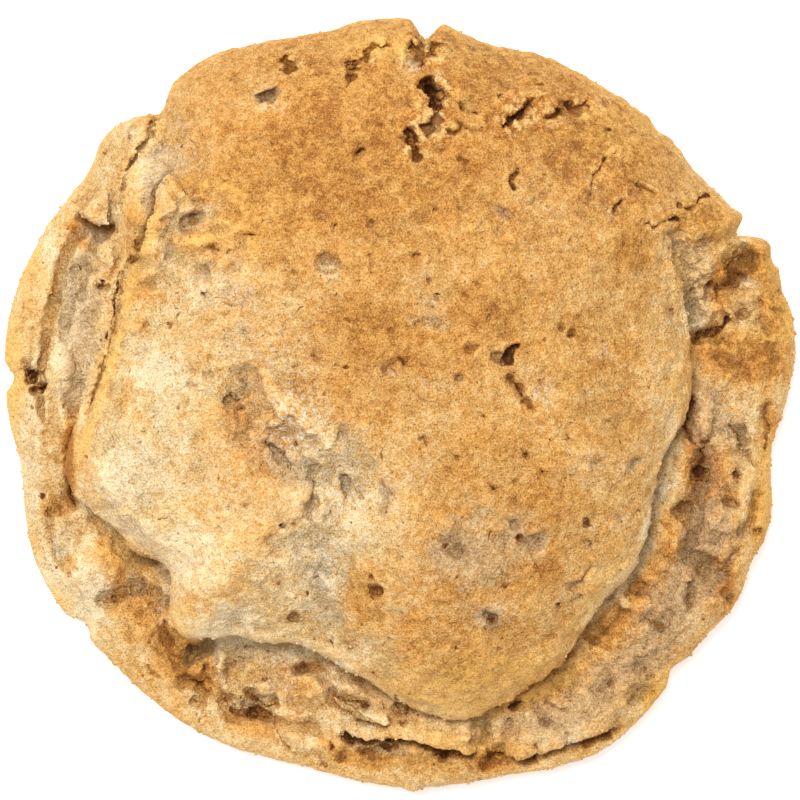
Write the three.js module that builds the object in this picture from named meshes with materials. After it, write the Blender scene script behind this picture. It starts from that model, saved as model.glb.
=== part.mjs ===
// A thick soft oatmeal cookie, baked in one piece: a tall puffed crown that overhangs a wavy skirt.
// Millimetres, +Z up. The origin is the middle of the flat base, and +X is the longest way across.
// The crown and the skirt are one sheet of dough, so the cookie is one closed solid: a sheet of
// rings round the crown's middle, folded under the crown's edge, then a side wall and a flat foot.
import * as THREE from "three";

// ---- driving dimensions -------------------------------------------------------------------------

const CROWN_TOP = 28; // highest point of the cookie
const EDGE_RADIUS = 55; // mean radius of the outline, about the origin
const CROWN_RADIUS = 43.4; // mean radius of the crown's edge, about the crown's own middle
const CROWN_MIDDLE = { x: -2, y: 4 };
const CROWN_EDGE_HEIGHT = 13; // where the crown's side is upright, before it turns under
const SKIRT_HEIGHT = 8; // the skirt at the foot of the crown
const SKIRT_WAIST = 5; // height of the widest line of the skirt's edge
const SIDE_WAIST = 9; // the same line where the crown runs out over the side
const EDGE_ROUNDING = 5; // how far in the skirt's edge is rounded
const OVERHANG = 2.2; // how far the crown's edge stands out over its crease
const CROWN_ROUNDNESS = 2.4; // higher is flatter on top
const SIDE_ROUNDNESS = 2.8;
const SHOULDER_POWER = 0.6; // below 1 the crown meets its edge upright

// The crown runs out over the cookie's side without a step in a sector round MERGE_TURN.
const MERGE_TURN = 80; // degrees anticlockwise from +X, as all turns below
const MERGE_HALF = 45;
const MERGE_FADE = 25;
const MERGE_SPAN = 2; // width of the undercut's rings where there is no undercut

// Flat foot: how far each ring of the side wall lies inside the outline, and its share of the
// outline's height. The second inset is what the same ring adds where the crown runs out.
const WALL_RINGS = [
  { inset: 0.3, tucked: 0.4, share: 0.7 },
  { inset: 1.0, tucked: 1.3, share: 0.4 },
  { inset: 1.5, tucked: 0.6, share: 0.14 },
  { inset: 2.4, tucked: 0.4, share: 0 },
];

// Rings of the sheet, from the crown's middle outwards. Ring k has 6k corners.
const CROWN_RINGS = 27;
const UNDERCUT_RINGS = 3;
const SKIRT_RINGS = 10;

// Cracks and steps are drawn no narrower than these half widths, so that the sheet can carry them.
const LEAST_CRACK = 2.0;
const LEAST_STEP = 2.5;

// ---- the outline and the crown's edge: swells (+) and bays (-) on a circle -----------------------

const EDGE_SWELLS = [
  { at: 12, half: 16, size: 2.7 },
  { at: 20, half: 4, size: 1.6 },
  { at: 27, half: 6, size: 1.6 },
  { at: 37, half: 5, size: -0.9 },
  { at: 60, half: 28, size: -1.3 },
  { at: 76, half: 11, size: -1.5 },
  { at: 102, half: 10, size: -0.8 },
  { at: 120, half: 12, size: 1.4 },
  { at: 137, half: 6, size: 1.2 },
  { at: 165, half: 30, size: 2.4 },
  { at: 189, half: 8, size: -0.5 },
  { at: 206, half: 20, size: 1.7 },
  { at: 256, half: 20, size: -1.5 },
  { at: 301, half: 19, size: 2.3 },
  { at: 330, half: 9, size: 0.9 },
  { at: 341, half: 6, size: 0.8 },
  { at: 353, half: 9, size: -1.3 },
];

// Short breaks in the outline, which fade out within NICK_REACH of it.
const EDGE_NICKS = [
  { at: 86, half: 4, size: -2.8 },
  { at: 51, half: 3, size: 0.7 },
  { at: 47, half: 2.5, size: -1.2 },
  { at: 131, half: 4, size: -1.6 },
  { at: 176, half: 2.5, size: -1.2 },
  { at: 215, half: 3, size: -1.3 },
  { at: 272, half: 2, size: 0.6 },
  { at: 316, half: 3, size: -0.8 },
];
const NICK_REACH = 7;

const CROWN_SWELLS = [
  { at: 142, half: 13, size: 3.2 },
  { at: 172, half: 30, size: -4.6 },
  { at: 198, half: 14, size: 4.3 },
  { at: 221, half: 8, size: -2.4 },
  { at: 231, half: 9, size: 3.2 },
  { at: 252, half: 20, size: -3.4 },
  { at: 281, half: 17, size: 5.8 },
  { at: 298, half: 20, size: 4.8 },
  { at: 320, half: 14, size: 2.0 },
  { at: 342, half: 14, size: -0.9 },
];

// What the heights of the crown's edge and of the skirt gain or lose, by direction.
const CROWN_EDGE_LIFTS = [
  { at: 160, half: 50, size: 1.0 },
  { at: 285, half: 45, size: -1.5 },
  { at: 340, half: 30, size: 1.0 },
];
const SKIRT_LIFTS = [
  { at: 160, half: 60, size: 2.0 },
  { at: 20, half: 50, size: 2.0 },
  { at: 80, half: 70, size: 2.0 },
];

// ---- relief: cracks, folds, lumps, hollows and pits, at their places on the sheet ---------------

// Cracks and seams, sunk along a line. A negative depth is a ridge.
const CREASES = [
  // between the left ridge and the strip inside it
  {
    on: "skirt",
    half: 1.5,
    depth: 2.8,
    path: [[-45.5, 27.5], [-47, 23], [-49, 17], [-50, 10], [-51, 2], [-50, -3.5]],
  },
  // furrow down that strip
  { on: "skirt", half: 1.2, depth: 0.9, path: [[-43.5, 24], [-44, 20], [-45.5, 12]] },
  // beside the tongue at the strip's lower end
  { on: "skirt", half: 1.3, depth: 1.6, path: [[-46.5, -0.5], [-47, -5], [-48, -6.5]] },
  // round the lump at the lower left
  {
    on: "skirt",
    half: 1.3,
    depth: 1.6,
    path: [[-46.5, -15.5], [-49, -15.5], [-50, -18], [-49, -23], [-48, -25.5]],
  },
  { on: "skirt", half: 1.3, depth: 1.8, path: [[-43.5, -27.5], [-38.5, -27], [-33.5, -27]] },
  // torn seam inside the lower left rim
  {
    on: "skirt",
    half: 1.5,
    depth: 3.0,
    path: [[-33, -33], [-32, -39.5], [-27.5, -43], [-22, -45], [-17.5, -45], [-13, -50]],
  },
  // seam inside the right rim
  {
    on: "skirt",
    half: 1.5,
    depth: 2.0,
    path: [[52, 0], [53, -4], [53, -16.5], [50, -21], [49.5, -24.5], [50, -28.5]],
  },
  // ridge between the crown and the right rim
  { on: "skirt", half: 2.4, depth: -1.8, path: [[42.5, -14], [43.5, -20.5], [43.5, -25], [41, -32.5]] },
  // jagged tear in the right flap
  { on: "skirt", half: 1.2, depth: 2.8, path: [[42, 9], [46, 11], [47, 12.5], [50, 13]] },
  // split at the top of the crown
  {
    on: "all",
    half: 1.3,
    depth: 3.0,
    path: [[4.5, 53], [3.5, 47.5], [4.5, 42], [2, 38], [2.5, 35.5]],
  },
  // cracks along the crown's upper right side
  { on: "crown", half: 1.2, depth: 2.6, path: [[14.5, 39.5], [18, 42], [20.5, 44]] },
  { on: "all", half: 1.2, depth: 2.4, path: [[20.5, 41], [24, 42.5], [29, 44], [33, 42.5]] },
  { on: "crown", half: 0.8, depth: 1.2, path: [[27, 29.5], [28.5, 33.5], [31, 36.5]] },
  // slot in the crown's middle
  { on: "crown", half: 0.9, depth: 1.6, path: [[15.5, 4], [17.5, 0.5], [19, -0.5]] },
];

// Layers that stand up over what lies to the right of their path.
const LEDGES = [
  // end of the upper left lobe
  {
    on: "skirt",
    rise: 3.0,
    reach: 7,
    half: 1.6,
    lean: 0.9,
    path: [[-45.5, 27.5], [-43.5, 26], [-40.5, 25.5]],
  },
  // the crown's broken shelf at the upper left
  {
    on: "crown",
    rise: 3.0,
    reach: 7,
    half: 1.6,
    lean: 0.8,
    path: [[-33, 32.5], [-35, 27], [-37, 22.5], [-39.5, 18.5], [-40, 16.5]],
  },
  // bottom layer over the rim
  {
    on: "skirt",
    rise: 3.0,
    reach: 8,
    half: 1.8,
    lean: 1.0,
    path: [[-8.5, -46], [-1, -47], [6.5, -49], [17, -50.5], [25.5, -48], [31.5, -45.5]],
  },
];

// Lumps (+) and hollows (-): middle, half length, half width, turn of the length, and height.
const LUMPS = [
  { on: "skirt", x: -42, y: -22, long: 8.5, wide: 6, turn: 40, height: 3.0 },
  { on: "skirt", x: -13.5, y: -47, long: 4.2, wide: 4.6, turn: 0, height: 1.8 },
  { on: "skirt", x: 48.5, y: -18, long: 3.6, wide: 4.4, turn: 0, height: 1.6 },
  { on: "skirt", x: 46.5, y: -23, long: 2.9, wide: 3.7, turn: 0, height: -3.6 },
  { on: "skirt", x: 45, y: -28.5, long: 2.6, wide: 2.2, turn: 0, height: 1.0 },
  { on: "skirt", x: 47.5, y: 19.5, long: 4.2, wide: 3.6, turn: 20, height: -5.5 },
  { on: "skirt", x: 44, y: 25, long: 5.5, wide: 5.5, turn: 0, height: 1.2 },
  { on: "skirt", x: -47.5, y: -3, long: 3, wide: 5.5, turn: 0, height: 1.2 },
  { on: "skirt", x: -24, y: -40.5, long: 6, wide: 2.5, turn: -15, height: -1.5 },
  // the crown: left lobe, the valleys beside it, and the dip behind the shelf
  { on: "crown", x: -28.5, y: -19.5, long: 14.5, wide: 15, turn: 0, height: 1.8 },
  { on: "crown", x: -17, y: -5.5, long: 11, wide: 6, turn: -38, height: -1.6 },
  { on: "crown", x: -7.5, y: -10.5, long: 9, wide: 6, turn: -15, height: -1.2 },
  { on: "crown", x: -10.5, y: -23, long: 6, wide: 15, turn: 5, height: -1.3 },
  { on: "crown", x: -30, y: 24.5, long: 4.2, wide: 5, turn: 0, height: -1.6 },
];

// Round pits where gas or fat broke through.
const PITS = [
  { x: -52, y: 4, radius: 2.0, depth: 3.5 },
  { x: -38, y: 20.5, radius: 1.6, depth: 1.8 },
  { x: -29, y: -37.5, radius: 2.0, depth: 2.5 },
  { x: -5.5, y: -48.5, radius: 2.2, depth: 2.0 },
  { x: 13.5, y: -50, radius: 1.8, depth: 1.8 },
  { x: 43, y: -7.5, radius: 2.0, depth: 2.0 },
  { x: 45.5, y: 15.5, radius: 1.6, depth: 2.2 },
  { x: 4.5, y: 45, radius: 1.9, depth: 3.2 },
  { x: -18.5, y: 44, radius: 2.0, depth: 1.8 },
  { x: -16.5, y: 48.5, radius: 1.7, depth: 1.4 },
  { x: -7, y: 48, radius: 1.6, depth: 1.4 },
  { x: 10.5, y: 8.5, radius: 1.6, depth: 1.5 },
  { x: 16, y: 7.5, radius: 1.5, depth: 1.8 },
  { x: -23.5, y: -0.5, radius: 1.6, depth: 1.8 },
];

// ---- helpers --------------------------------------------------------------------------------------

const FULL_TURN = 360;
const radians = THREE.MathUtils.degToRad;
const degrees = THREE.MathUtils.radToDeg;

function eased(value) {
  const t = THREE.MathUtils.clamp(value, 0, 1);
  return t * t * (3 - 2 * t);
}

function turnBetween(a, b) {
  const gap = THREE.MathUtils.euclideanModulo(a - b, FULL_TURN);
  return Math.min(gap, FULL_TURN - gap);
}

function sumOfSwells(swells, turn) {
  return swells.reduce(
    (sum, swell) => sum + swell.size * eased(1 - turnBetween(turn, swell.at) / swell.half),
    0,
  );
}

// Where a point lies against a path: its distance, + on the path's left, how near the path's ends
// it is (1 along the middle, 0 at an end), and the direction away from the path's right side.
const END_FADE = 0.2;

function placeOnPath(path, x, y) {
  let best = { distance: Infinity, side: 1, share: 0, away: { x: 0, y: 0 } };
  const lengths = path.slice(1).map(([bx, by], i) => Math.hypot(bx - path[i][0], by - path[i][1]));
  const total = lengths.reduce((sum, length) => sum + length, 0);
  let done = 0;
  lengths.forEach((length, i) => {
    const [ax, ay] = path[i];
    const ex = (path[i + 1][0] - ax) / length;
    const ey = (path[i + 1][1] - ay) / length;
    const along = THREE.MathUtils.clamp((x - ax) * ex + (y - ay) * ey, 0, length);
    const dx = x - ax - along * ex;
    const dy = y - ay - along * ey;
    const distance = Math.hypot(dx, dy);
    if (distance < best.distance) {
      const side = ex * dy - ey * dx >= 0 ? 1 : -1;
      best = { distance, side, share: (done + along) / total, away: { x: -ey, y: ex } };
    }
    done += length;
  });
  const fade = eased(Math.min(best.share, 1 - best.share) / END_FADE);
  return { signed: best.side * best.distance, fade, away: best.away };
}

// ---- the sheet of dough ---------------------------------------------------------------------------

// How much of a step the crown's edge makes in a direction: 0 where it runs out, 1 elsewhere.
function stepAt(turn) {
  return eased((turnBetween(turn, MERGE_TURN) - MERGE_HALF) / MERGE_FADE);
}

// Distance from the crown's middle to the outline, which is given about the origin.
function edgeReach(turn, withNicks) {
  const ux = Math.cos(radians(turn));
  const uy = Math.sin(radians(turn));
  let reach = EDGE_RADIUS;
  for (let round = 0; round < 8; round += 1) {
    const x = CROWN_MIDDLE.x + reach * ux;
    const y = CROWN_MIDDLE.y + reach * uy;
    const about = degrees(Math.atan2(y, x));
    const nicks = withNicks ? sumOfSwells(EDGE_NICKS, about) : 0;
    const wanted = EDGE_RADIUS + sumOfSwells(EDGE_SWELLS, about) + nicks;
    reach += wanted - Math.hypot(x, y);
  }
  return reach;
}

// A point of the sheet. Share runs from 0 to 1 across each of its three zones.
function sheetPoint(zone, share, turn) {
  const step = stepAt(turn);
  const crown = CROWN_RADIUS + sumOfSwells(CROWN_SWELLS, turn);
  const edge = edgeReach(turn, false);
  const nick = edgeReach(turn, true) - edge;
  const crownEdge = CROWN_EDGE_HEIGHT + sumOfSwells(CROWN_EDGE_LIFTS, turn);
  const foot = SKIRT_HEIGHT + sumOfSwells(SKIRT_LIFTS, turn);
  const waist = SIDE_WAIST + (SKIRT_WAIST - SIDE_WAIST) * step;
  const crease = crown + (1 - step) * MERGE_SPAN - step * OVERHANG;

  let reach;
  let stepped;
  if (zone === "crown") {
    reach = share * crown;
    const dome = Math.pow(1 - Math.pow(share, CROWN_ROUNDNESS), SHOULDER_POWER);
    stepped = crownEdge + (CROWN_TOP - crownEdge) * dome;
  } else if (zone === "undercut") {
    const turnedIn = (1 - Math.cos(Math.PI * share)) / 2;
    reach = crown + (1 - step) * MERGE_SPAN * share - step * OVERHANG * turnedIn;
    stepped = crownEdge - (crownEdge - foot) * Math.sin((Math.PI / 2) * share);
  } else {
    reach = crease + share * (edge - crease);
    const inward = THREE.MathUtils.clamp((edge - reach) / EDGE_ROUNDING, 0, 1);
    stepped = waist + (foot - waist) * Math.sqrt(1 - (1 - inward) ** 2);
  }
  const out = Math.min(reach / edge, 1);
  const runOut = Math.pow(1 - Math.pow(out, SIDE_ROUNDNESS), SHOULDER_POWER);
  const merged = waist + (CROWN_TOP - waist) * runOut;
  const nicked = reach + nick * eased(1 - (edge - reach) / NICK_REACH);
  return {
    zone,
    x: CROWN_MIDDLE.x + nicked * Math.cos(radians(turn)),
    y: CROWN_MIDDLE.y + nicked * Math.sin(radians(turn)),
    z: step * stepped + (1 - step) * merged,
  };
}

function isOn(feature, point) {
  return feature.on === "all" || feature.on === point.zone;
}

// The relief is worked out at the point's first place, so that the order of features is free.
function withRelief(point) {
  const { x, y } = point;
  const moved = { x, y, z: point.z };
  for (const crease of CREASES.filter((feature) => isOn(feature, point))) {
    const place = placeOnPath(crease.path, x, y);
    const half = Math.max(crease.half, LEAST_CRACK);
    moved.z -= crease.depth * place.fade * eased(1 - Math.abs(place.signed) / half);
  }
  for (const ledge of LEDGES.filter((feature) => isOn(feature, point))) {
    const place = placeOnPath(ledge.path, x, y);
    const half = Math.max(ledge.half, LEAST_STEP);
    const raised = eased(place.signed / half / 2 + 0.5) * eased(1 - place.signed / ledge.reach);
    moved.z += ledge.rise * place.fade * raised;
    if (Math.abs(place.signed) < half) {
      const lean = ledge.lean * place.fade * Math.sin((Math.PI * place.signed) / half);
      moved.x -= lean * place.away.x;
      moved.y -= lean * place.away.y;
    }
  }
  for (const lump of LUMPS.filter((feature) => isOn(feature, point))) {
    const cos = Math.cos(radians(lump.turn));
    const sin = Math.sin(radians(lump.turn));
    const along = ((x - lump.x) * cos + (y - lump.y) * sin) / lump.long;
    const across = ((y - lump.y) * cos - (x - lump.x) * sin) / lump.wide;
    moved.z += lump.height * Math.max(0, 1 - along ** 2 - across ** 2) ** 2;
  }
  for (const pit of PITS) {
    moved.z -= pit.depth * eased(1 - Math.hypot(x - pit.x, y - pit.y) / pit.radius);
  }
  return moved;
}

// ---- the closed solid -----------------------------------------------------------------------------

function zoneOfRing(ring) {
  if (ring <= CROWN_RINGS) return ["crown", ring / CROWN_RINGS];
  if (ring <= CROWN_RINGS + UNDERCUT_RINGS) return ["undercut", (ring - CROWN_RINGS) / UNDERCUT_RINGS];
  return ["skirt", (ring - CROWN_RINGS - UNDERCUT_RINGS) / SKIRT_RINGS];
}

function firstOfRing(ring) {
  return ring === 0 ? 0 : 3 * ring * (ring - 1) + 1;
}

function makeCookie() {
  const rings = CROWN_RINGS + UNDERCUT_RINGS + SKIRT_RINGS;
  const around = 6 * rings;
  const positions = [];
  const faces = [];

  for (let ring = 0; ring <= rings; ring += 1) {
    const [zone, share] = zoneOfRing(ring);
    const corners = Math.max(6 * ring, 1);
    for (let corner = 0; corner < corners; corner += 1) {
      const point = withRelief(sheetPoint(zone, share, (FULL_TURN * corner) / corners));
      positions.push([point.x, point.y, point.z]);
    }
  }

  // Six equal sectors: in each, ring k has one corner more than ring k-1.
  for (let ring = 1; ring <= rings; ring += 1) {
    const outer = firstOfRing(ring);
    const inner = firstOfRing(ring - 1);
    const innerCorners = Math.max(6 * (ring - 1), 1);
    for (let sector = 0; sector < 6; sector += 1) {
      for (let i = 0; i < ring; i += 1) {
        const a = outer + ((sector * ring + i) % (6 * ring));
        const b = outer + ((sector * ring + i + 1) % (6 * ring));
        const c = inner + ((sector * (ring - 1) + i) % innerCorners);
        faces.push([c, a, b]);
        if (i < ring - 1) faces.push([c, b, inner + ((sector * (ring - 1) + i + 1) % innerCorners)]);
      }
    }
  }

  // The side wall goes down from the outline and in, to the edge of the flat foot.
  let upper = firstOfRing(rings);
  const outline = positions.slice(upper);
  for (const wall of WALL_RINGS) {
    const lower = positions.length;
    outline.forEach(([x, y, z], corner) => {
      const turn = (FULL_TURN * corner) / around;
      const inset = wall.inset + wall.tucked * (1 - stepAt(turn));
      const inX = inset * Math.cos(radians(turn));
      const inY = inset * Math.sin(radians(turn));
      positions.push([x - inX, y - inY, z * wall.share]);
    });
    for (let corner = 0; corner < around; corner += 1) {
      const next = (corner + 1) % around;
      faces.push([upper + corner, lower + corner, upper + next]);
      faces.push([upper + next, lower + corner, lower + next]);
    }
    upper = lower;
  }
  const middle = positions.length;
  positions.push([0, 0, 0]);
  for (let corner = 0; corner < around; corner += 1) {
    faces.push([upper + corner, middle, upper + ((corner + 1) % around)]);
  }

  const geometry = new THREE.BufferGeometry();
  geometry.setAttribute("position", new THREE.Float32BufferAttribute(positions.flat(), 3));
  geometry.setIndex(faces.flat());
  geometry.computeVertexNormals();
  return geometry;
}

const bakedDough = new THREE.MeshStandardMaterial({ color: 0xd6a469, roughness: 0.75, metalness: 0 });

const cookie = new THREE.Mesh(makeCookie(), bakedDough);
cookie.name = "cookie";

const part = new THREE.Group();
part.add(cookie);

export default part;
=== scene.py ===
# A thick soft oatmeal cookie, baked in one piece, lying on a white table and seen from straight above.
# Sizes are in millimetres, +Z up, and are turned into metres where a mesh or a node is made.
import math

import bpy
import numpy as np
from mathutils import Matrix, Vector


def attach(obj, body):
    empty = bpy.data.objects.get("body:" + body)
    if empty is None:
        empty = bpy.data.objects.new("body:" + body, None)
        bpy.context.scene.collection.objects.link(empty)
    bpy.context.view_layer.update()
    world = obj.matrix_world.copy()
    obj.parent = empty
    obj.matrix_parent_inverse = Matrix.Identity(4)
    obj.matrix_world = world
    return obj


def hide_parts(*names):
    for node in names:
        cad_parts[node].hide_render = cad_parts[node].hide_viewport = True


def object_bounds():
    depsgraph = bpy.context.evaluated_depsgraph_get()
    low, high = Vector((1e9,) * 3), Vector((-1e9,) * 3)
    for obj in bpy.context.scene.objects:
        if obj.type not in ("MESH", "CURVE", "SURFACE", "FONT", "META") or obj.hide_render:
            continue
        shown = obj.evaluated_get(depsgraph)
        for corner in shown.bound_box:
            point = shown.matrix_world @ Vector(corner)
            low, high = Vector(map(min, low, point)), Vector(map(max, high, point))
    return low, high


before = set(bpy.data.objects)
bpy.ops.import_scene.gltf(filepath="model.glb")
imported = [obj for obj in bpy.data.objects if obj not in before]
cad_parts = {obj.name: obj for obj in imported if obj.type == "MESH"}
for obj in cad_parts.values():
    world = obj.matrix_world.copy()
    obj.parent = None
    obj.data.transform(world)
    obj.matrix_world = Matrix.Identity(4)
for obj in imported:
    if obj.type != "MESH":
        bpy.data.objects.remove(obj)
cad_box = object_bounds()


# ==== the table, the light and the camera =========================================================
# A plain white table top among white walls, with a big soft window high above it, a little behind and
# to the left. The camera hangs straight above the middle of the cookie.

MM = 0.001  # metres
TABLE_HALF = 1500
TABLE_WHITE = (0.93, 0.93, 0.93, 1)
TABLE_ROUGHNESS = 0.9
TABLE_GLOW = 0.50
WALLS_GLOW = 0.52
WINDOW_PLACE = (-110, 170, 640)
WINDOW_SIDE = 260
WINDOW_WATTS = 4.7
CAMERA_HEIGHT = 706
CAMERA_ABOVE = (0.14, 0.71)
SEEN_WIDTH = 800 / 7  # what the picture's 800 pixels cover, 7 pixels to the millimetre
SEEN_HEIGHT = 6  # the height at which they cover it
SENSOR = 36

scene = bpy.context.scene
scene.view_settings.view_transform = "Standard"
scene.view_settings.look = "None"

table_mesh = bpy.data.meshes.new("table_top")
corners = [(-1, -1), (1, -1), (1, 1), (-1, 1)]
places = [(x * TABLE_HALF * MM, y * TABLE_HALF * MM, 0) for x, y in corners]
table_mesh.from_pydata(places, [], [(0, 1, 2, 3)])
table = bpy.data.objects.new("table_top", table_mesh)
scene.collection.objects.link(table)
table_paint = bpy.data.materials.new("white_table")
table_paint.use_nodes = True
table_look = [
    ("Base Color", TABLE_WHITE), ("Roughness", TABLE_ROUGHNESS),
    ("Emission Color", TABLE_WHITE), ("Emission Strength", TABLE_GLOW),
]
for name, value in table_look:
    table_paint.node_tree.nodes["Principled BSDF"].inputs[name].default_value = value
table_mesh.materials.append(table_paint)

world = bpy.data.worlds.new("white_walls")
scene.world = world
world.use_nodes = True
background = world.node_tree.nodes["Background"]
background.inputs["Color"].default_value = (1, 1, 1, 1)
background.inputs["Strength"].default_value = WALLS_GLOW

window_light = bpy.data.lights.new("window", "AREA")
window_light.energy = WINDOW_WATTS
window_light.size = WINDOW_SIDE * MM
window = bpy.data.objects.new("window", window_light)
window.location = Vector(WINDOW_PLACE) * MM
window.rotation_euler = (-window.location).to_track_quat("-Z", "Y").to_euler()
scene.collection.objects.link(window)

camera_data = bpy.data.cameras.new("camera")
camera_data.sensor_width = SENSOR
camera_data.lens = SENSOR * (CAMERA_HEIGHT - SEEN_HEIGHT) / SEEN_WIDTH
camera = bpy.data.objects.new("camera", camera_data)
camera.location = Vector((*CAMERA_ABOVE, CAMERA_HEIGHT)) * MM
scene.collection.objects.link(camera)
scene.camera = camera


# ==== the cookie ==================================================================================
# One piece of soft baked oatmeal dough: a tall browned crown that overhangs a wavy, layered skirt,
# cracked at the top where it ran out over the side. It was baked on a flat sheet, so its foot is flat.

CROWN_TOP = 28
TOP_ROOM = 1.5
EDGE_RADIUS = 55
CROWN_RADIUS = 43.4
CROWN_MIDDLE = (-2, 4)
CROWN_EDGE_HEIGHT = 13
SKIRT_HEIGHT = 8
SKIRT_WAIST = 5
SIDE_WAIST = 9
EDGE_ROUNDING = 5
OVERHANG = 2.2
CROWN_ROUNDNESS = 2.4
SIDE_ROUNDNESS = 2.8
SHOULDER_POWER = 0.6
MERGE_TURN = 80
MERGE_HALF = 45
MERGE_FADE = 25
MERGE_SPAN = 2
NICK_REACH = 7

# Swells (+) and bays (-) of the outline and of the crown's edge, and how far the crown's edge and the
# skirt are lifted: the direction, how many degrees to each side, and millimetres.
EDGE_SWELLS = [
    (12, 16, 2.7), (20, 4, 1.2), (23.6, 3, 2.2), (29, 2.4, 0.9), (39, 9, -1.1), (60, 28, -1.3),
    (76, 11, -1.5),
    (102, 10, -0.8), (120, 12, 1.4), (137, 8, 1.9), (165, 30, 2.2), (189, 8, -0.5), (206, 20, 1.7),
    (256, 20, -1.5), (301, 19, 2.3), (330, 9, 0.9), (341, 6, 0.8), (353, 9, -1.3),
]
EDGE_NICKS = [
    (86, 2.6, -3.0), (27, 1.8, -0.9), (47, 2.5, -0.6), (129, 4, -1.4), (176, 2.5, -1.2), (215, 3, -1.3),
    (272, 2, 0.6), (316, 3, -0.8),
]
CROWN_SWELLS = [
    (142, 13, 3.2), (167, 24, -4.2), (198, 15, 3.9), (221, 8, -2.4), (231, 9, 3.2), (252, 20, -3.4),
    (281, 17, 5.8), (298, 20, 4.8), (320, 14, 0.9), (342, 14, -2.3),
]
CROWN_EDGE_LIFTS = [(160, 50, 1.0), (285, 45, -1.5), (340, 30, 1.0)]
SKIRT_LIFTS = [(160, 60, 2.0), (20, 50, 2.0), (80, 70, 2.0), (338, 30, 2.6)]
# How much shade is painted into the crease under the crown's edge, by direction.
CREASE_SHADES = [
    (197, 9, 0.75), (157, 14, 0.5), (174, 14, 0.35), (216, 12, 0.6), (234, 7, 0.8), (250, 10, 0.15),
    (325, 18, -0.05), (350, 14, 0.05), (300, 12, 0.2),
]
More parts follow.
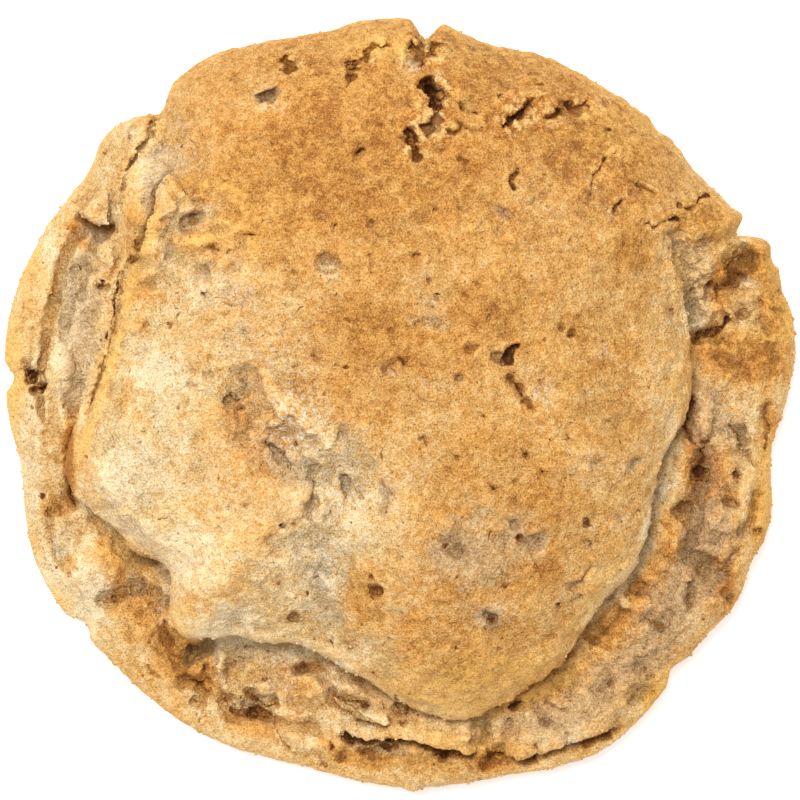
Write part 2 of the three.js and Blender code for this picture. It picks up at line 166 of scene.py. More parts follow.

# The features of the lists below were picked one by one, and their sizes guessed from the shading.
# Cracks and seams: where they are, half width, depth (negative for a ridge), how much crack brown and shade
# is painted in, and the line.
CREASES = [
    # the fold between the outer upper left lobe and the crown
    ("all", 0.75, 2, 0.32, [(-34.4, 41.7), (-35, 39.9), (-35.5, 37.9), (-36.6, 36.2), (-37.6, 34.4),
            (-38.4, 32.2), (-39, 30.3), (-39.2, 28.5), (-39.8, 26.6)]),
    ("all", 0.9, 2, 0.55, [(-37.4, 20.1), (-38.3, 19.3), (-39, 18.5), (-39.4, 17.1), (-39.4, 15.3),
            (-39.7, 14), (-40.2, 11.3), (-40.8, 8.4), (-41.6, 5.6), (-42.5, 2.8), (-43.3, 0.3),
            (-44.3, -2.8)]),
    ("crown", 1.3, -0.7, 0, [(-37.6, 16.1), (-38.3, 13.3), (-39.1, 10.5), (-39.7, 7.7), (-40.5, 4.9),
            (-41.4, 2.1), (-42.4, -0.7), (-43.3, -3.8), (-44.3, -7)]),
    # the lobe's torn lower end
    ("skirt", 0.6, 1.4, 0.5, [(-45.6, 27.4), (-44.7, 26.7), (-43.9, 26.1), (-42.7, 25.7), (-41.4, 25.4)]),
    # folds of the strip down the left side
    ("skirt", 0.7, 1.1, 0.15, [(-45.4, 26.9), (-46.1, 24.8), (-47, 22.1), (-47.7, 19.9), (-48.6, 16.7),
            (-49, 14.1), (-50.1, 12.1), (-50.3, 9.3), (-50.3, 6.1), (-50.5, 2.8), (-50.9, -0.4),
            (-50.2, -3.3)]),
    ("skirt", 0.6, 1, 0.22, [(-43.7, 23.8), (-43.5, 21.9), (-43.8, 20.3), (-44.3, 18.9), (-44.7, 16.3),
            (-45, 14.3)]),
    ("skirt", 0.7, 1.2, 0.25, [(-43.5, 22.9), (-42.5, 23.7), (-41.2, 24), (-40.7, 24.9), (-40.1, 25.4)]),
    ("skirt", 0.9, 0.8, 0.15, [(-45.9, 20.3), (-46.5, 16.3), (-46.8, 12.1), (-47.5, 8.5)]),
    ("skirt", 0.8, 1, 0.4, [(-47.4, 0.1), (-46.8, -0.4), (-46.6, -1.8)]),
    ("skirt", 0.9, 2, 0.7, [(-45.1, -3.5), (-45.5, -4.9), (-46.2, -6.8), (-46.6, -8.9)]),
    ("skirt", 0.7, 2.4, 1, [(-46.4, -8.6), (-47, -10.7), (-47, -12.7), (-46, -15)]),
    # round the lump at the lower left
    ("skirt", 0.5, 0.7, 0.2, [(-48.4, -14.3), (-49.3, -15.4), (-49.8, -17), (-49.7, -19), (-49.3, -20.7),
            (-48.5, -22.4), (-47.8, -24.1)]),
    ("skirt", 1.2, 1.4, 0.3, [(-44.8, -14.9), (-43.9, -16.5), (-42.6, -18), (-40.8, -19.3),
            (-38.9, -20.7), (-36.4, -21.4), (-33.6, -21.8)]),
    ("skirt", 0.5, 1.4, 0.75, [(-43.5, -28.1), (-42.1, -28), (-40.5, -27.6), (-39.5, -27),
            (-38.4, -26.4)]),
    ("skirt", 0.8, 1.2, 0.35, [(-38.4, -26.7), (-37.5, -26.4), (-36.1, -26.7), (-33.6, -26.8)]),
    ("skirt", 0.4, 1, 0.85, [(-33.6, -30.3), (-33.4, -31.7), (-33.2, -33.1), (-32.9, -34.5)]),
    ("skirt", 0.4, 0.8, 0.7, [(-36, -36.9), (-35.2, -38), (-34.2, -39.2)]),
    # the long valley inside the rim, from the left round the bottom
    ("skirt", 1.8, 1.5, 0.32, [(-36.1, -26.7), (-34.5, -30.3), (-33.2, -34.2), (-31.3, -37.5),
            (-29, -40.2), (-26.3, -42), (-23.2, -43.8), (-19.6, -44.7), (-15.5, -45.4), (-11.5, -47.1),
            (-8.1, -48.3)]),
    ("skirt", 1.5, 1, 0.3, [(-8.1, -48.3), (-2.7, -49.5), (4.4, -50.3), (11.5, -50.6), (17.3, -50.9),
            (23, -49.5)]),
    # torn seams between the layers at the lower left
    ("skirt", 0.7, 1.4, 0.5, [(-27.6, -36.6), (-27.4, -38.6), (-28.4, -39.8), (-29.2, -40.9)]),
    ("skirt", 0.7, 1.8, 0.6, [(-31.8, -39.8), (-30.4, -39.4), (-28.9, -39.5), (-27.8, -40.7),
            (-26.9, -41.7)]),
    ("skirt", 0.5, 1.4, 0.8, [(-29.8, -41.9), (-28.6, -42.4), (-27.4, -42.2)]),
    ("skirt", 0.8, 2.6, 1, [(-25.2, -41.2), (-24.5, -43), (-23.7, -44.1), (-22.3, -44.5), (-20.7, -44),
            (-19, -44.3), (-17.5, -44.6)]),
    ("skirt", 1, 1.8, 0.6, [(-18, -44.3), (-17.8, -46), (-17, -47.7), (-15.2, -49.2)]),
    ("skirt", 0.8, 2.2, 0.8, [(-21.8, -40.7), (-20.1, -42.4), (-18.7, -42.9), (-16.7, -42.5)]),
    ("skirt", 0.7, 0.9, 0.4, [(-25.5, -38.7), (-23.8, -37.8), (-22.1, -37.3)]),
    ("skirt", 0.9, 1.4, 0.45, [(-11.6, -36.4), (-11, -38.6), (-10.3, -40.5)]),
    ("skirt", 0.9, 2, 0.9, [(-10.4, -40.3), (-8.8, -41.6), (-7.4, -42), (-5.6, -42.3), (-3.8, -42.7)]),
    ("skirt", 0.4, 0.8, 0.7, [(-8.6, -50.9), (-8.3, -49.8), (-7.6, -48.9)]),
    ("skirt", 0.5, 1, 0.8, [(-11.4, -50.8), (-10.1, -51.5)]),
    # cracks and gaps in the layers at the bottom
    ("skirt", 0.5, 1.2, 0.8, [(-0.1, -42.2), (0.1, -43.5), (1, -44), (1.4, -42.6)]),
    ("skirt", 0.5, 1.2, 0.6, [(12.4, -45.2), (12.4, -47.1), (12, -48.6)]),
    ("skirt", 0.4, 0.8, 0.5, [(15.8, -44.9), (15.4, -46.6), (15.1, -48)]),
    ("skirt", 1.1, 2.4, 1, [(12.1, -49.4), (13, -49.8), (14.1, -49.8), (15.5, -49.6)]),
    ("skirt", 1, 1.6, 0.7, [(13.1, -50), (12.4, -51.4), (12, -52.5)]),
    ("skirt", 0.4, 0.9, 0.55, [(18.4, -42), (19.5, -43), (20.1, -43.9), (20.7, -44.9), (21.6, -45.4),
            (22.5, -46.5)]),
    ("skirt", 0.5, 0.9, 0.6, [(20.7, -42.2), (21.8, -42.7), (22.9, -43.3), (24.5, -43.4)]),
    ("skirt", 0.4, 0.8, 0.7, [(19, -48.2), (20.2, -48.9)]),
    ("skirt", 0.9, 1.8, 0.85, [(17.8, -50.2), (18.9, -50.4), (20, -50.2)]),
    ("skirt", 0.7, 1.4, 1, [(15.7, -43.2), (16.7, -42.7), (17.8, -41.7)]),
    ("skirt", 0.6, 1.2, 0.6, [(24.3, -46.5), (23.6, -47.5), (23, -48.6)]),
    ("skirt", 0.8, 1.4, 0.55, [(25.8, -48.2), (27.3, -47.9), (28.7, -47.4), (30.6, -46.9)]),
    ("skirt", 0.6, 0.9, 0.3, [(30.4, -46.9), (31.8, -45.8), (33.7, -46)]),
    # hollows and cracks at the lower right
    ("skirt", 0.9, 1.4, 0.4, [(36.8, -40.7), (35.1, -40.9), (34, -41), (33.4, -41.7), (32.8, -42.9)]),
    ("skirt", 0.5, 1, 0.7, [(30.5, -39.1), (29.7, -40.1)]),
    ("skirt", 0.9, 0.8, 0.3, [(26.9, -42), (28.7, -40.6), (30.4, -39.4), (32.2, -38.2), (34.4, -37.5),
            (36.2, -36.6)]),
    ("skirt", 1.3, 1.4, 0.4, [(34.5, -24.9), (34.1, -26.1), (33.8, -27.5)]),
    ("skirt", 1.7, 1.8, 0.4, [(32.6, -28.9), (31, -30.4), (29.3, -32.4), (27.8, -34.4)]),
    ("skirt", 0.4, 0.8, 0.75, [(34.1, -30.9), (35.4, -30.5), (35.9, -30.9), (36.8, -31.2),
            (37.8, -31.7)]),
    ("skirt", 1.4, -1.1, 0, [(40.6, -23.5), (40.5, -26), (39.8, -28.2), (38.9, -30.3), (38.3, -32.6)]),
    ("skirt", 0.7, 1.3, 0.6, [(41.1, -24.6), (41.2, -26.7), (41.4, -28.1), (41.6, -29.8)]),
    ("skirt", 1.2, 2, 0.45, [(40.5, -14), (41.1, -16.1), (41.6, -18.1), (41.7, -20.4)]),
    ("skirt", 0.4, 0.8, 0.8, [(45.7, -14), (46.8, -13.7), (47.3, -13.5), (48.4, -14.5)]),
    ("skirt", 0.7, 1.3, 0.5, [(51.2, -12.1), (50.5, -13.6), (50.4, -15.3), (50.2, -16.6), (49.3, -17.7),
            (48.2, -18.8)]),
    ("skirt", 0.8, 1.4, 0.5, [(48.3, -20.7), (47, -21.6), (46.8, -23.1), (46.2, -24.6)]),
    # between the crown and the lumps on the right
    ("skirt", 1, 2, 0.75, [(41.6, 1.6), (40.8, -1), (40.7, -3), (41.4, -4.7), (42.6, -6.4)]),
    ("skirt", 0.6, 1.5, 0.8, [(42.3, -6.3), (43.7, -5.8), (44.2, -5), (45.2, -4)]),
    ("skirt", 1.3, 2.4, 0.9, [(42.9, -5.8), (43.3, -7.6), (42.9, -9), (42.7, -10.4)]),
    ("skirt", 1.4, 1.4, 0.35, [(43, -10.2), (42.6, -12.1), (41.6, -13.6), (40.5, -14.7), (38.8, -15.7)]),
    ("skirt", 0.8, 1.4, 0.75, [(46.7, -2.4), (47.3, -3.6), (48, -4.6), (48.8, -5.8)]),
    ("skirt", 1.2, -0.9, 0, [(46.2, -2.4), (46.6, -4.3), (47.5, -5.4), (48.7, -6.5)]),
    ("skirt", 0.5, 1.2, 0.95, [(47.4, -9.3), (48.3, -10.4)]),
    ("skirt", 0.4, 0.8, 0.6, [(48.9, -5.4), (50.2, -5.1)]),
    ("skirt", 0.5, 1.2, 0.7, [(53.4, 0.1), (52.3, -0.1), (52.2, -1.3), (52.5, -2.4), (53.1, -3.6),
            (52.4, -5), (52.1, -7)]),
    ("skirt", 0.5, 0.8, 0.5, [(49.4, -6.4), (49.9, -7.8), (50.4, -9)]),
    # pleats, tears and cracks of the right flap
    ("skirt", 1, 1.3, 0.4, [(50.3, 15.2), (50.9, 13.2), (51.9, 11.4), (53, 9.5)]),
    ("skirt", 1.1, -0.9, 0, [(50, 15.8), (50.2, 13.8), (50.9, 11.8), (52.1, 9.5), (53.3, 8.1)]),
    ("skirt", 0.9, -0.8, 0, [(52.2, 13.2), (53.4, 12.1), (54.9, 10.4)]),
    ("skirt", 0.7, 0.9, 0.35, [(50.8, 14.2), (52.5, 13.6), (53.6, 13.4), (56, 13.3)]),
    ("skirt", 1.5, 0.8, 0.1, [(43.6, 7.5), (46, 6.4), (48.5, 5.5), (50.7, 4.7)]),
    ("skirt", 1.1, 2.8, 1, [(41.8, 8.8), (42.8, 9.8), (43.8, 10.1), (44.7, 10.4), (45.8, 11), (46.4, 12),
            (47.3, 12.9)]),
    ("skirt", 0.6, 1.2, 0.6, [(48.1, 12.5), (49.4, 13.2)]),
    ("skirt", 0.7, 1.8, 0.9, [(45.2, 16.8), (45.2, 15.6), (45.2, 14.6)]),
    ("skirt", 0.8, 0.8, 0.5, [(41.1, 16.7), (42.3, 15.7)]),
    ("skirt", 1.6, 3, 0.7, [(43.4, 17.2), (45.1, 16.9), (46.7, 16.8), (47.9, 17.5), (48.9, 19.1)]),
    ("skirt", 0.7, 1.2, 0.6, [(54.9, 19.1), (55.4, 17.3), (54.5, 15.6)]),
    ("all", 2.3, 1.3, 0.1, [(38.6, 25.7), (39.7, 22.6), (40.3, 19.8), (41, 17), (41.7, 14.2),
            (42.5, 11.1)]),
    ("all", 0.45, 0.9, 0.85, [(30, 26.5), (30.1, 27.8), (31, 28.6), (32, 29), (32.5, 29.5)]),
    ("all", 0.35, 0.7, 0.7, [(33, 31.1), (34.2, 30.5), (35, 30.1), (36.2, 29.4)]),
    ("all", 0.4, 0.8, 0.7, [(34, 25), (34.7, 25.6), (35.4, 24.9), (36.3, 25.3), (37, 25.9),
            (37.9, 25.8)]),
    ("all", 0.5, 0.9, 0.85, [(37.6, 26.2), (38.5, 26.4), (39.7, 26)]),
    ("all", 0.6, 0.9, 0.45, [(38.8, 28), (40, 27.9), (41, 27.6), (41.9, 28)]),
    ("all", 0.5, 0.9, 0.75, [(41.8, 27.9), (42.2, 29), (43.2, 29.4), (44.5, 29.6)]),
    # split at the top of the crown
    ("all", 1.9, 2.8, 0.6, [(1.1, 51.1), (2.1, 50), (3, 48.8), (3.5, 47.2)]),
    ("all", 1.4, 2, 0.55, [(5.2, 51.2), (4.8, 49.7), (4.1, 48.1)]),
    ("all", 1.7, 3.6, 1, [(3.8, 46.1), (4.4, 44.6), (4.9, 43.3), (4.9, 41.3)]),
    ("all", 1.6, 2.2, 0.5, [(6, 40.2), (4.8, 39.3), (3.1, 38.1)]),
    ("all", 1.3, 2.6, 0.85, [(0.7, 38.6), (1.7, 37.7), (2, 36.3)]),
    ("all", 0.8, 2, 0.85, [(1.7, 36.6), (2.2, 35.2), (2.6, 34)]),
    ("all", 0.6, 1.2, 0.75, [(6.4, 37.9), (7.8, 38.2), (8.6, 39.1), (8.5, 39.8)]),
    ("all", 0.4, 0.7, 0.5, [(8.5, 38.6), (9.9, 38.4), (11.9, 38.2)]),
    ("all", 0.4, 0.8, 0.8, [(8.4, 42.5), (8.7, 41)]),
    ("all", 0.4, 0.8, 0.8, [(10.2, 40.9), (11.2, 40.6)]),
    # cracks along the crown's upper right side
    ("all", 1.2, 2.6, 0.85, [(14.1, 38.5), (15.4, 39.5), (16.5, 40.4), (17.6, 40.9), (18, 42.1),
            (18.8, 42.8)]),
    ("all", 0.6, 1.4, 0.8, [(18.5, 42.6), (19.5, 42.9), (20.8, 42.8)]),
    ("all", 0.9, 1.8, 0.75, [(20.1, 40), (21.3, 40.3), (22.2, 41.1), (22.5, 41.8)]),
    ("all", 1, 1.6, 0.5, [(24.6, 41.1), (25.9, 42.1), (26.6, 43.3)]),
    ("all", 0.5, 1.2, 0.85, [(30.6, 36), (30.1, 34.9)]),
    ("all", 0.5, 1.2, 0.85, [(29.7, 35), (28.8, 34.4), (28.2, 33.5), (27.8, 32.8), (27.2, 32.2),
            (26.9, 31.1), (26.8, 30), (26.6, 28.8)]),
    ("all", 0.45, 1, 0.85, [(16.7, 33.6), (16.4, 32.3), (15.6, 31.7), (15.3, 31.1), (15.7, 30.3),
            (16.4, 29.5)]),
    ("all", 0.5, 0.8, 0.5, [(19, 45), (20.3, 45.3)]),
    ("all", 0.4, 0.8, 0.85, [(13.6, 43.4), (14.3, 43.4), (14, 43), (14.4, 42.2)]),
    # broken crust at the top left
    ("all", 0.8, 1.4, 0.6, [(-4.6, 47.8), (-4.4, 49.7), (-3.5, 50.4), (-1.1, 50.7)]),
    ("all", 1.2, 1.8, 0.6, [(-16.8, 49.1), (-15.8, 48.2), (-14.7, 46.8)]),
    ("crown", 0.6, 1, 0.75, [(-28, 42.3), (-27.8, 41.1), (-27.9, 39.8)]),
    ("crown", 0.6, 1.2, 0.9, [(-21.8, 23.9), (-20.7, 23.7), (-19.7, 23.4)]),
    # hook and slot in the crown's middle
    ("crown", 0.6, 2, 1, [(15.1, 5.7), (15.2, 7), (15.6, 7.8), (16.2, 8.2), (16.9, 8.2)]),
    ("crown", 0.9, 0.9, 0.35, [(12.6, 7.1), (13.7, 6.8), (14.9, 6.1)]),
    ("crown", 0.8, 1.8, 0.7, [(15.1, 4.3), (16.1, 2.8), (16.7, 1.8), (17.4, 0.8)]),
    ("crown", 1, 1.6, 0.6, [(17.1, 1), (18, 0.1), (19.1, -1)]),
    ("crown", 0.5, 1, 0.95, [(-0.4, 6.6), (0.4, 6.2), (0.8, 5.5)]),
    ("crown", 0.4, 0.6, 0.6, [(-2.6, 4.6), (-1.8, 5.4), (-1.1, 6), (-0.1, 6.5)]),
    # furrows between the crown's left lobe and its middle
    ("crown", 2, 1.3, 0.12, [(-21.6, 6), (-20.1, 4), (-19.9, 1.8), (-20.7, -0.4), (-21, -2.8),
            (-21.9, -5.1)]),
    ("crown", 1.3, 1.5, 0.35, [(-19.3, -4.6), (-17.7, -6.3), (-16.4, -7.4), (-15.2, -9)]),
    ("crown", 1.3, 1.4, 0.22, [(-12.5, -7.6), (-12, -10.2), (-11.8, -12.1), (-12.2, -14),
            (-13.1, -16.5)]),
    ("crown", 1.1, 1.2, 0.28, [(-2.4, -10.1), (-1.5, -12.4), (-1.5, -13.7), (-2.1, -15.7)]),
    ("crown", 0.9, 1, 0.22, [(-7.8, -9.6), (-7.2, -11.8), (-6.8, -14)]),
    ("crown", 0.8, 0.8, 0.2, [(-6, -9.9), (-5.4, -12.1), (-4.7, -13.7)]),
    ("crown", 1.2, -0.8, 0, [(-11.3, -9), (-10.7, -12.1), (-10.8, -16), (-11.3, -19.9)]),
    ("crown", 1, -0.7, 0, [(-6.5, -9.9), (-6.3, -11.8), (-5.8, -13.7)]),
    ("crown", 1.4, 0.8, 0.1, [(-18.2, -17.6), (-16.8, -19.5), (-17.1, -21.6)]),
    ("crown", 1.6, 0.9, 0.06, [(-11.3, -21.6), (-11.5, -25.9), (-10, -28.8), (-7.7, -31.3)]),
    # ragged holes and grooves low on the crown
    ("crown", 0.9, 1.4, 0.75, [(-3.8, -26.2), (-2.9, -25.9), (-1.9, -25.6)]),
    ("crown", 0.7, 1.2, 0.55, [(-15.4, -29.8), (-14, -29.9)]),
    ("crown", 0.35, 0.6, 0.7, [(-9.8, -32.8), (-9, -34.2)]),
    ("crown", 1, 0.9, 0.15, [(24, -26.2), (25.6, -24.2), (27.1, -22.2)]),
    ("crown", 0.9, 0.6, 0.15, [(20.2, -33.1), (22.3, -32)]),
    ("crown", 0.45, 0.8, 0.9, [(12.2, -18), (12.9, -17.2)]),
]

# Layers that stand up over what lies to the right of their line: rise, how far back it fades,
# half width of the step, how far it leans out, how much shade is painted at its foot.
LEDGES = [
    # end of the upper left lobe
    ("skirt", 2.6, 6, 0.8, 0.6, 0.6, [(-45.6, 27.4), (-44.3, 26.4), (-42.8, 25.8), (-41.4, 25.5),
            (-40.1, 25.7)]),
    # the crown's broken shelf at the upper left
    ("crown", 3.6, 7, 0.7, 0.4, 0.7, [(-30.9, 32.6), (-32, 31.8), (-33.2, 30.1), (-33.9, 28.3),
            (-34.3, 26.7), (-34.8, 24.9), (-35.5, 23.2), (-36.3, 21.6), (-37, 20.4)]),
    # the left strip over the left ridge
    ("skirt", 1, 4, 0.8, 0.3, 0.12, [(-49.7, 10.7), (-50, 7.8), (-49.9, 4.7), (-50.6, 1.8),
            (-50.5, -0.7), (-49.8, -3.3)]),
    # flap above the right cavity
    ("skirt", 1.6, 6, 1, 0.6, 0.4, [(48.1, 23), (47.1, 21.6), (46.6, 20.3), (45.6, 19.1), (44.5, 18.1),
            (43, 16.9)]),
    # layers at the bottom
    ("skirt", 1.4, 4, 0.8, 0.5, 0.5, [(-10.4, -41.2), (-8.7, -42.3), (-7, -43.3), (-5.3, -44.5),
            (-3.3, -45), (-0.6, -45.3)]),
    ("skirt", 3, 8, 1.2, 1, 0.85, [(-8.7, -45.8), (-7, -46.8), (-4.5, -47), (-2.7, -46.8), (-0.6, -46.8),
            (2.8, -47.5), (6.5, -48.7), (10.2, -49.3), (11.8, -49.1)]),
    ("skirt", 2, 8, 1.2, 0.8, 0.6, [(15.2, -49.4), (16.4, -50.3), (18.3, -50), (19.9, -49.5),
            (21.6, -49), (23.3, -48.2), (25.6, -47.8), (28.3, -46.8), (31.5, -45.5)]),
]

# Lumps (+) and hollows (-): middle, half length, half width, turn of the length, and height.
LUMPS = [
    # bumps and hollows of the broken shelf
    ("crown", -29.2, 30.8, 2, 1.6, 0, 0.9), ("crown", -27, 30.8, 1.6, 1.3, 0, 1),
    ("crown", -24.8, 30.1, 1.7, 1.3, 0, 0.8), ("crown", -27.6, 29.4, 1.4, 1, 0, 0.7),
    ("crown", -28.9, 22.9, 2.6, 1.6, 10, 1), ("crown", -26.5, 22.9, 1.6, 1.4, 0, 0.7),
    ("crown", -35, 18.7, 3.4, 1.8, 50, 1.1), ("crown", -34.8, 15.4, 2.6, 1, 5, 0.8),
    ("crown", -36.9, 11.3, 1.9, 1.4, 0, 0.9), ("crown", -31.8, 27.8, 1.2, 2.6, 0, 0.8),
    ("crown", -28.5, 25.9, 3.4, 1.7, 20, -0.9), ("crown", -32.1, 22.3, 1.5, 3.6, -15, -0.8),
    ("crown", -26.7, 18.8, 2.4, 1.5, 0, -1.2), ("crown", -35.1, 16.9, 1.6, 0.9, 30, -0.7),
    ("crown", -24.1, 19.4, 1.6, 2, 0, 0.6), ("all", -37.4, 26.7, 2.6, 2.1, 0, 0.9),
    ("all", -37.6, 22.5, 1.3, 3, 0, 0.7),
    # the left side's strip and lumps
    ("skirt", -43.5, 24.7, 2.8, 1.7, -20, -1.8), ("skirt", -41.4, 20.3, 1.7, 3.2, 0, 1),
    ("skirt", -46, 14.9, 1.8, 5, 8, 0.9), ("skirt", -48, 4.7, 2.2, 6.5, 4, 1.3),
    ("skirt", -43.6, 4.7, 1.8, 4.5, 8, 0.7), ("skirt", -47.1, -2.7, 1.7, 3.2, 10, 1.3),
    ("skirt", -43.1, -22.4, 8, 5.5, 40, 2.8), ("skirt", -34.8, -30.8, 2.9, 3.8, 0, 1.5),
    ("skirt", -48.4, -13.9, 2.2, 2, 0, -0.4),
    # lumps and strands of the torn dough at the lower left
    ("skirt", -24.9, -37.7, 1.3, 4, 12, 2.4), ("skirt", -22, -42.1, 2.4, 1.3, 20, 1.6),
    ("skirt", -27.2, -40.7, 1.6, 1.2, -30, 1.3), ("skirt", -19.5, -39.9, 3, 2, 0, 2),
    ("skirt", -11.5, -40.6, 2.2, 1.6, -30, 1.5), ("skirt", -7.7, -43.8, 3.4, 1.4, -28, 1.2),
    ("skirt", -22.2, -35.8, 1.6, 1.2, 0, 0.8), ("skirt", -15.5, -44.1, 2.2, 1.4, -20, 1.4),
    ("skirt", -13.2, -44.3, 1.9, 1, 60, 1), ("skirt", -14.6, -47.3, 3.6, 3, 0, 1.6),
    ("skirt", -6.7, -40.5, 3.6, 1.8, -25, 1.3), ("skirt", -13.7, -37.5, 3, 1.5, 0, -2.2),
    ("skirt", -28.4, -35.2, 4.2, 2, 30, -3), ("skirt", -34, -29.4, 3.2, 1.8, 35, -1.6),
    ("skirt", -30, -38, 1.6, 0.9, 15, 0.9), ("skirt", -29.8, -40.3, 1.8, 0.8, 20, 0.7),
    ("skirt", -9.3, -38.6, 1.4, 2.2, 0, 0.9),
    # fragments in the gap between the bottom layers
    ("skirt", -4, -48.4, 1.6, 1.1, 0, 1), ("skirt", 1.8, -48.8, 2, 1.1, 10, 1.1),
    ("skirt", -5.8, -48, 1, 0.9, 0, 0.7), ("skirt", 0.9, -48, 1.2, 0.8, 0, 0.7),
    ("skirt", 8.1, -50.3, 1.8, 1, 0, 0.8), ("skirt", -11.2, -48.3, 2, 1.6, 0, 0.8),
    # lumps, ridges and cavities on the right
    ("skirt", 44.9, -16.8, 3.8, 3.7, 0, 1.9), ("skirt", 43.6, -23.4, 4.6, 2.5, -42, -2.8),
    ("skirt", 44.7, -28.3, 2.3, 2, 0, 1.3), ("skirt", 47.2, -27.6, 0.9, 1.6, 0, -1.6),
    ("skirt", 43.2, -1.4, 2.6, 4.8, 0, 1.7), ("skirt", 49.2, -0.7, 3.4, 3.2, 0, 0.9),
    ("skirt", 48.4, -4.1, 1.3, 1.8, 40, -1.2), ("skirt", 48.5, 20.5, 3.8, 2.9, 35, -4.4),
    ("skirt", 49.5, 17.3, 1.5, 1, 10, 1.2), ("skirt", 52.4, 18.9, 1.8, 2.4, 0, 0.9),
    ("skirt", 44.4, 25.8, 4.6, 4, -20, 1.1), ("skirt", 39.1, -19.2, 1.3, 4, -8, 0.9),
    ("skirt", 34, -41.9, 1.5, 1, 0, -1), ("skirt", 35.7, -28.6, 3, 2, 0, 0.7),
    ("skirt", 51, -18, 1.2, 0.9, 0, -1),
    # the crown's big lobes and dents
    ("crown", -27.2, -20.1, 14, 14.5, 0, 1.6), ("crown", -16.8, -5.6, 11, 6, -38, -1.6),
    ("crown", -7.5, -10.4, 9, 6, -15, -1.2), ("crown", -10.3, -22.8, 6, 15, 5, -1.3),
    ("crown", -15.8, 0.4, 5.5, 2, -35, 0.9), ("crown", -22.4, 2.8, 2.4, 3.4, 0, -0.8),
    ("crown", -27.1, 2.6, 1.6, 0.9, -20, 0.6),
    # oat flakes under the crust, and what lies round them
    ("crown", 6.6, -16.5, 2.8, 1.5, -42, 1.2), ("crown", 7.8, -20, 3, 1.7, -25, -1.1),
    ("crown", 8.6, -19.9, 0.6, 1.1, -10, 0.6), ("crown", -17.1, -2.2, 1.6, 0.5, 10, 0.6),
    ("crown", -9.6, -5.7, 1.6, 0.7, 35, 0.6), ("crown", -10.5, 1.2, 0.6, 1.7, 30, 0.6),
    ("crown", -6.6, -1.4, 0.9, 1.5, 0, 0.7), ("crown", -5, -2.9, 0.7, 1.6, 0, 0.6),
    ("crown", -8.2, -3.7, 1.5, 1.8, 0, -0.8), ("crown", 12.4, -29.4, 1.9, 1.3, 0, -1),
    ("crown", 19.1, -19, 2.3, 1.5, 15, -0.8), ("crown", 16.3, -17, 1.3, 1.1, 0, -0.6),
    ("crown", -10, 19.8, 2.2, 2.4, 0, -0.7), ("crown", -10.7, 26.1, 1.6, 1.6, 0, -0.5),
    ("crown", 4.3, 11.6, 3.6, 1.3, -10, -0.6), ("crown", 14.7, 26.5, 2.2, 1.1, -30, -0.6),
    ("crown", 15.1, 23.1, 1.8, 1.2, 0, 0.5), ("crown", -10.9, 15.5, 1.4, 0.9, -10, 0.6),
    ("crown", -5.3, 35.5, 1.5, 1.3, 0, -0.9), ("crown", 27.2, -8.1, 1.8, 1.4, 0, -0.6),
    ("crown", 33.2, -8.1, 1.4, 1, 40, -0.7), ("crown", 8.6, 3.7, 1.1, 0.9, 0, -0.9),
    ("crown", 30.6, -15.4, 1.5, 1.2, 0, -0.6), ("crown", -18.4, 43.6, 2.3, 1.6, 20, -1.8),
    ("crown", -6.6, 47.7, 1.4, 1.1, 0, -1),
]
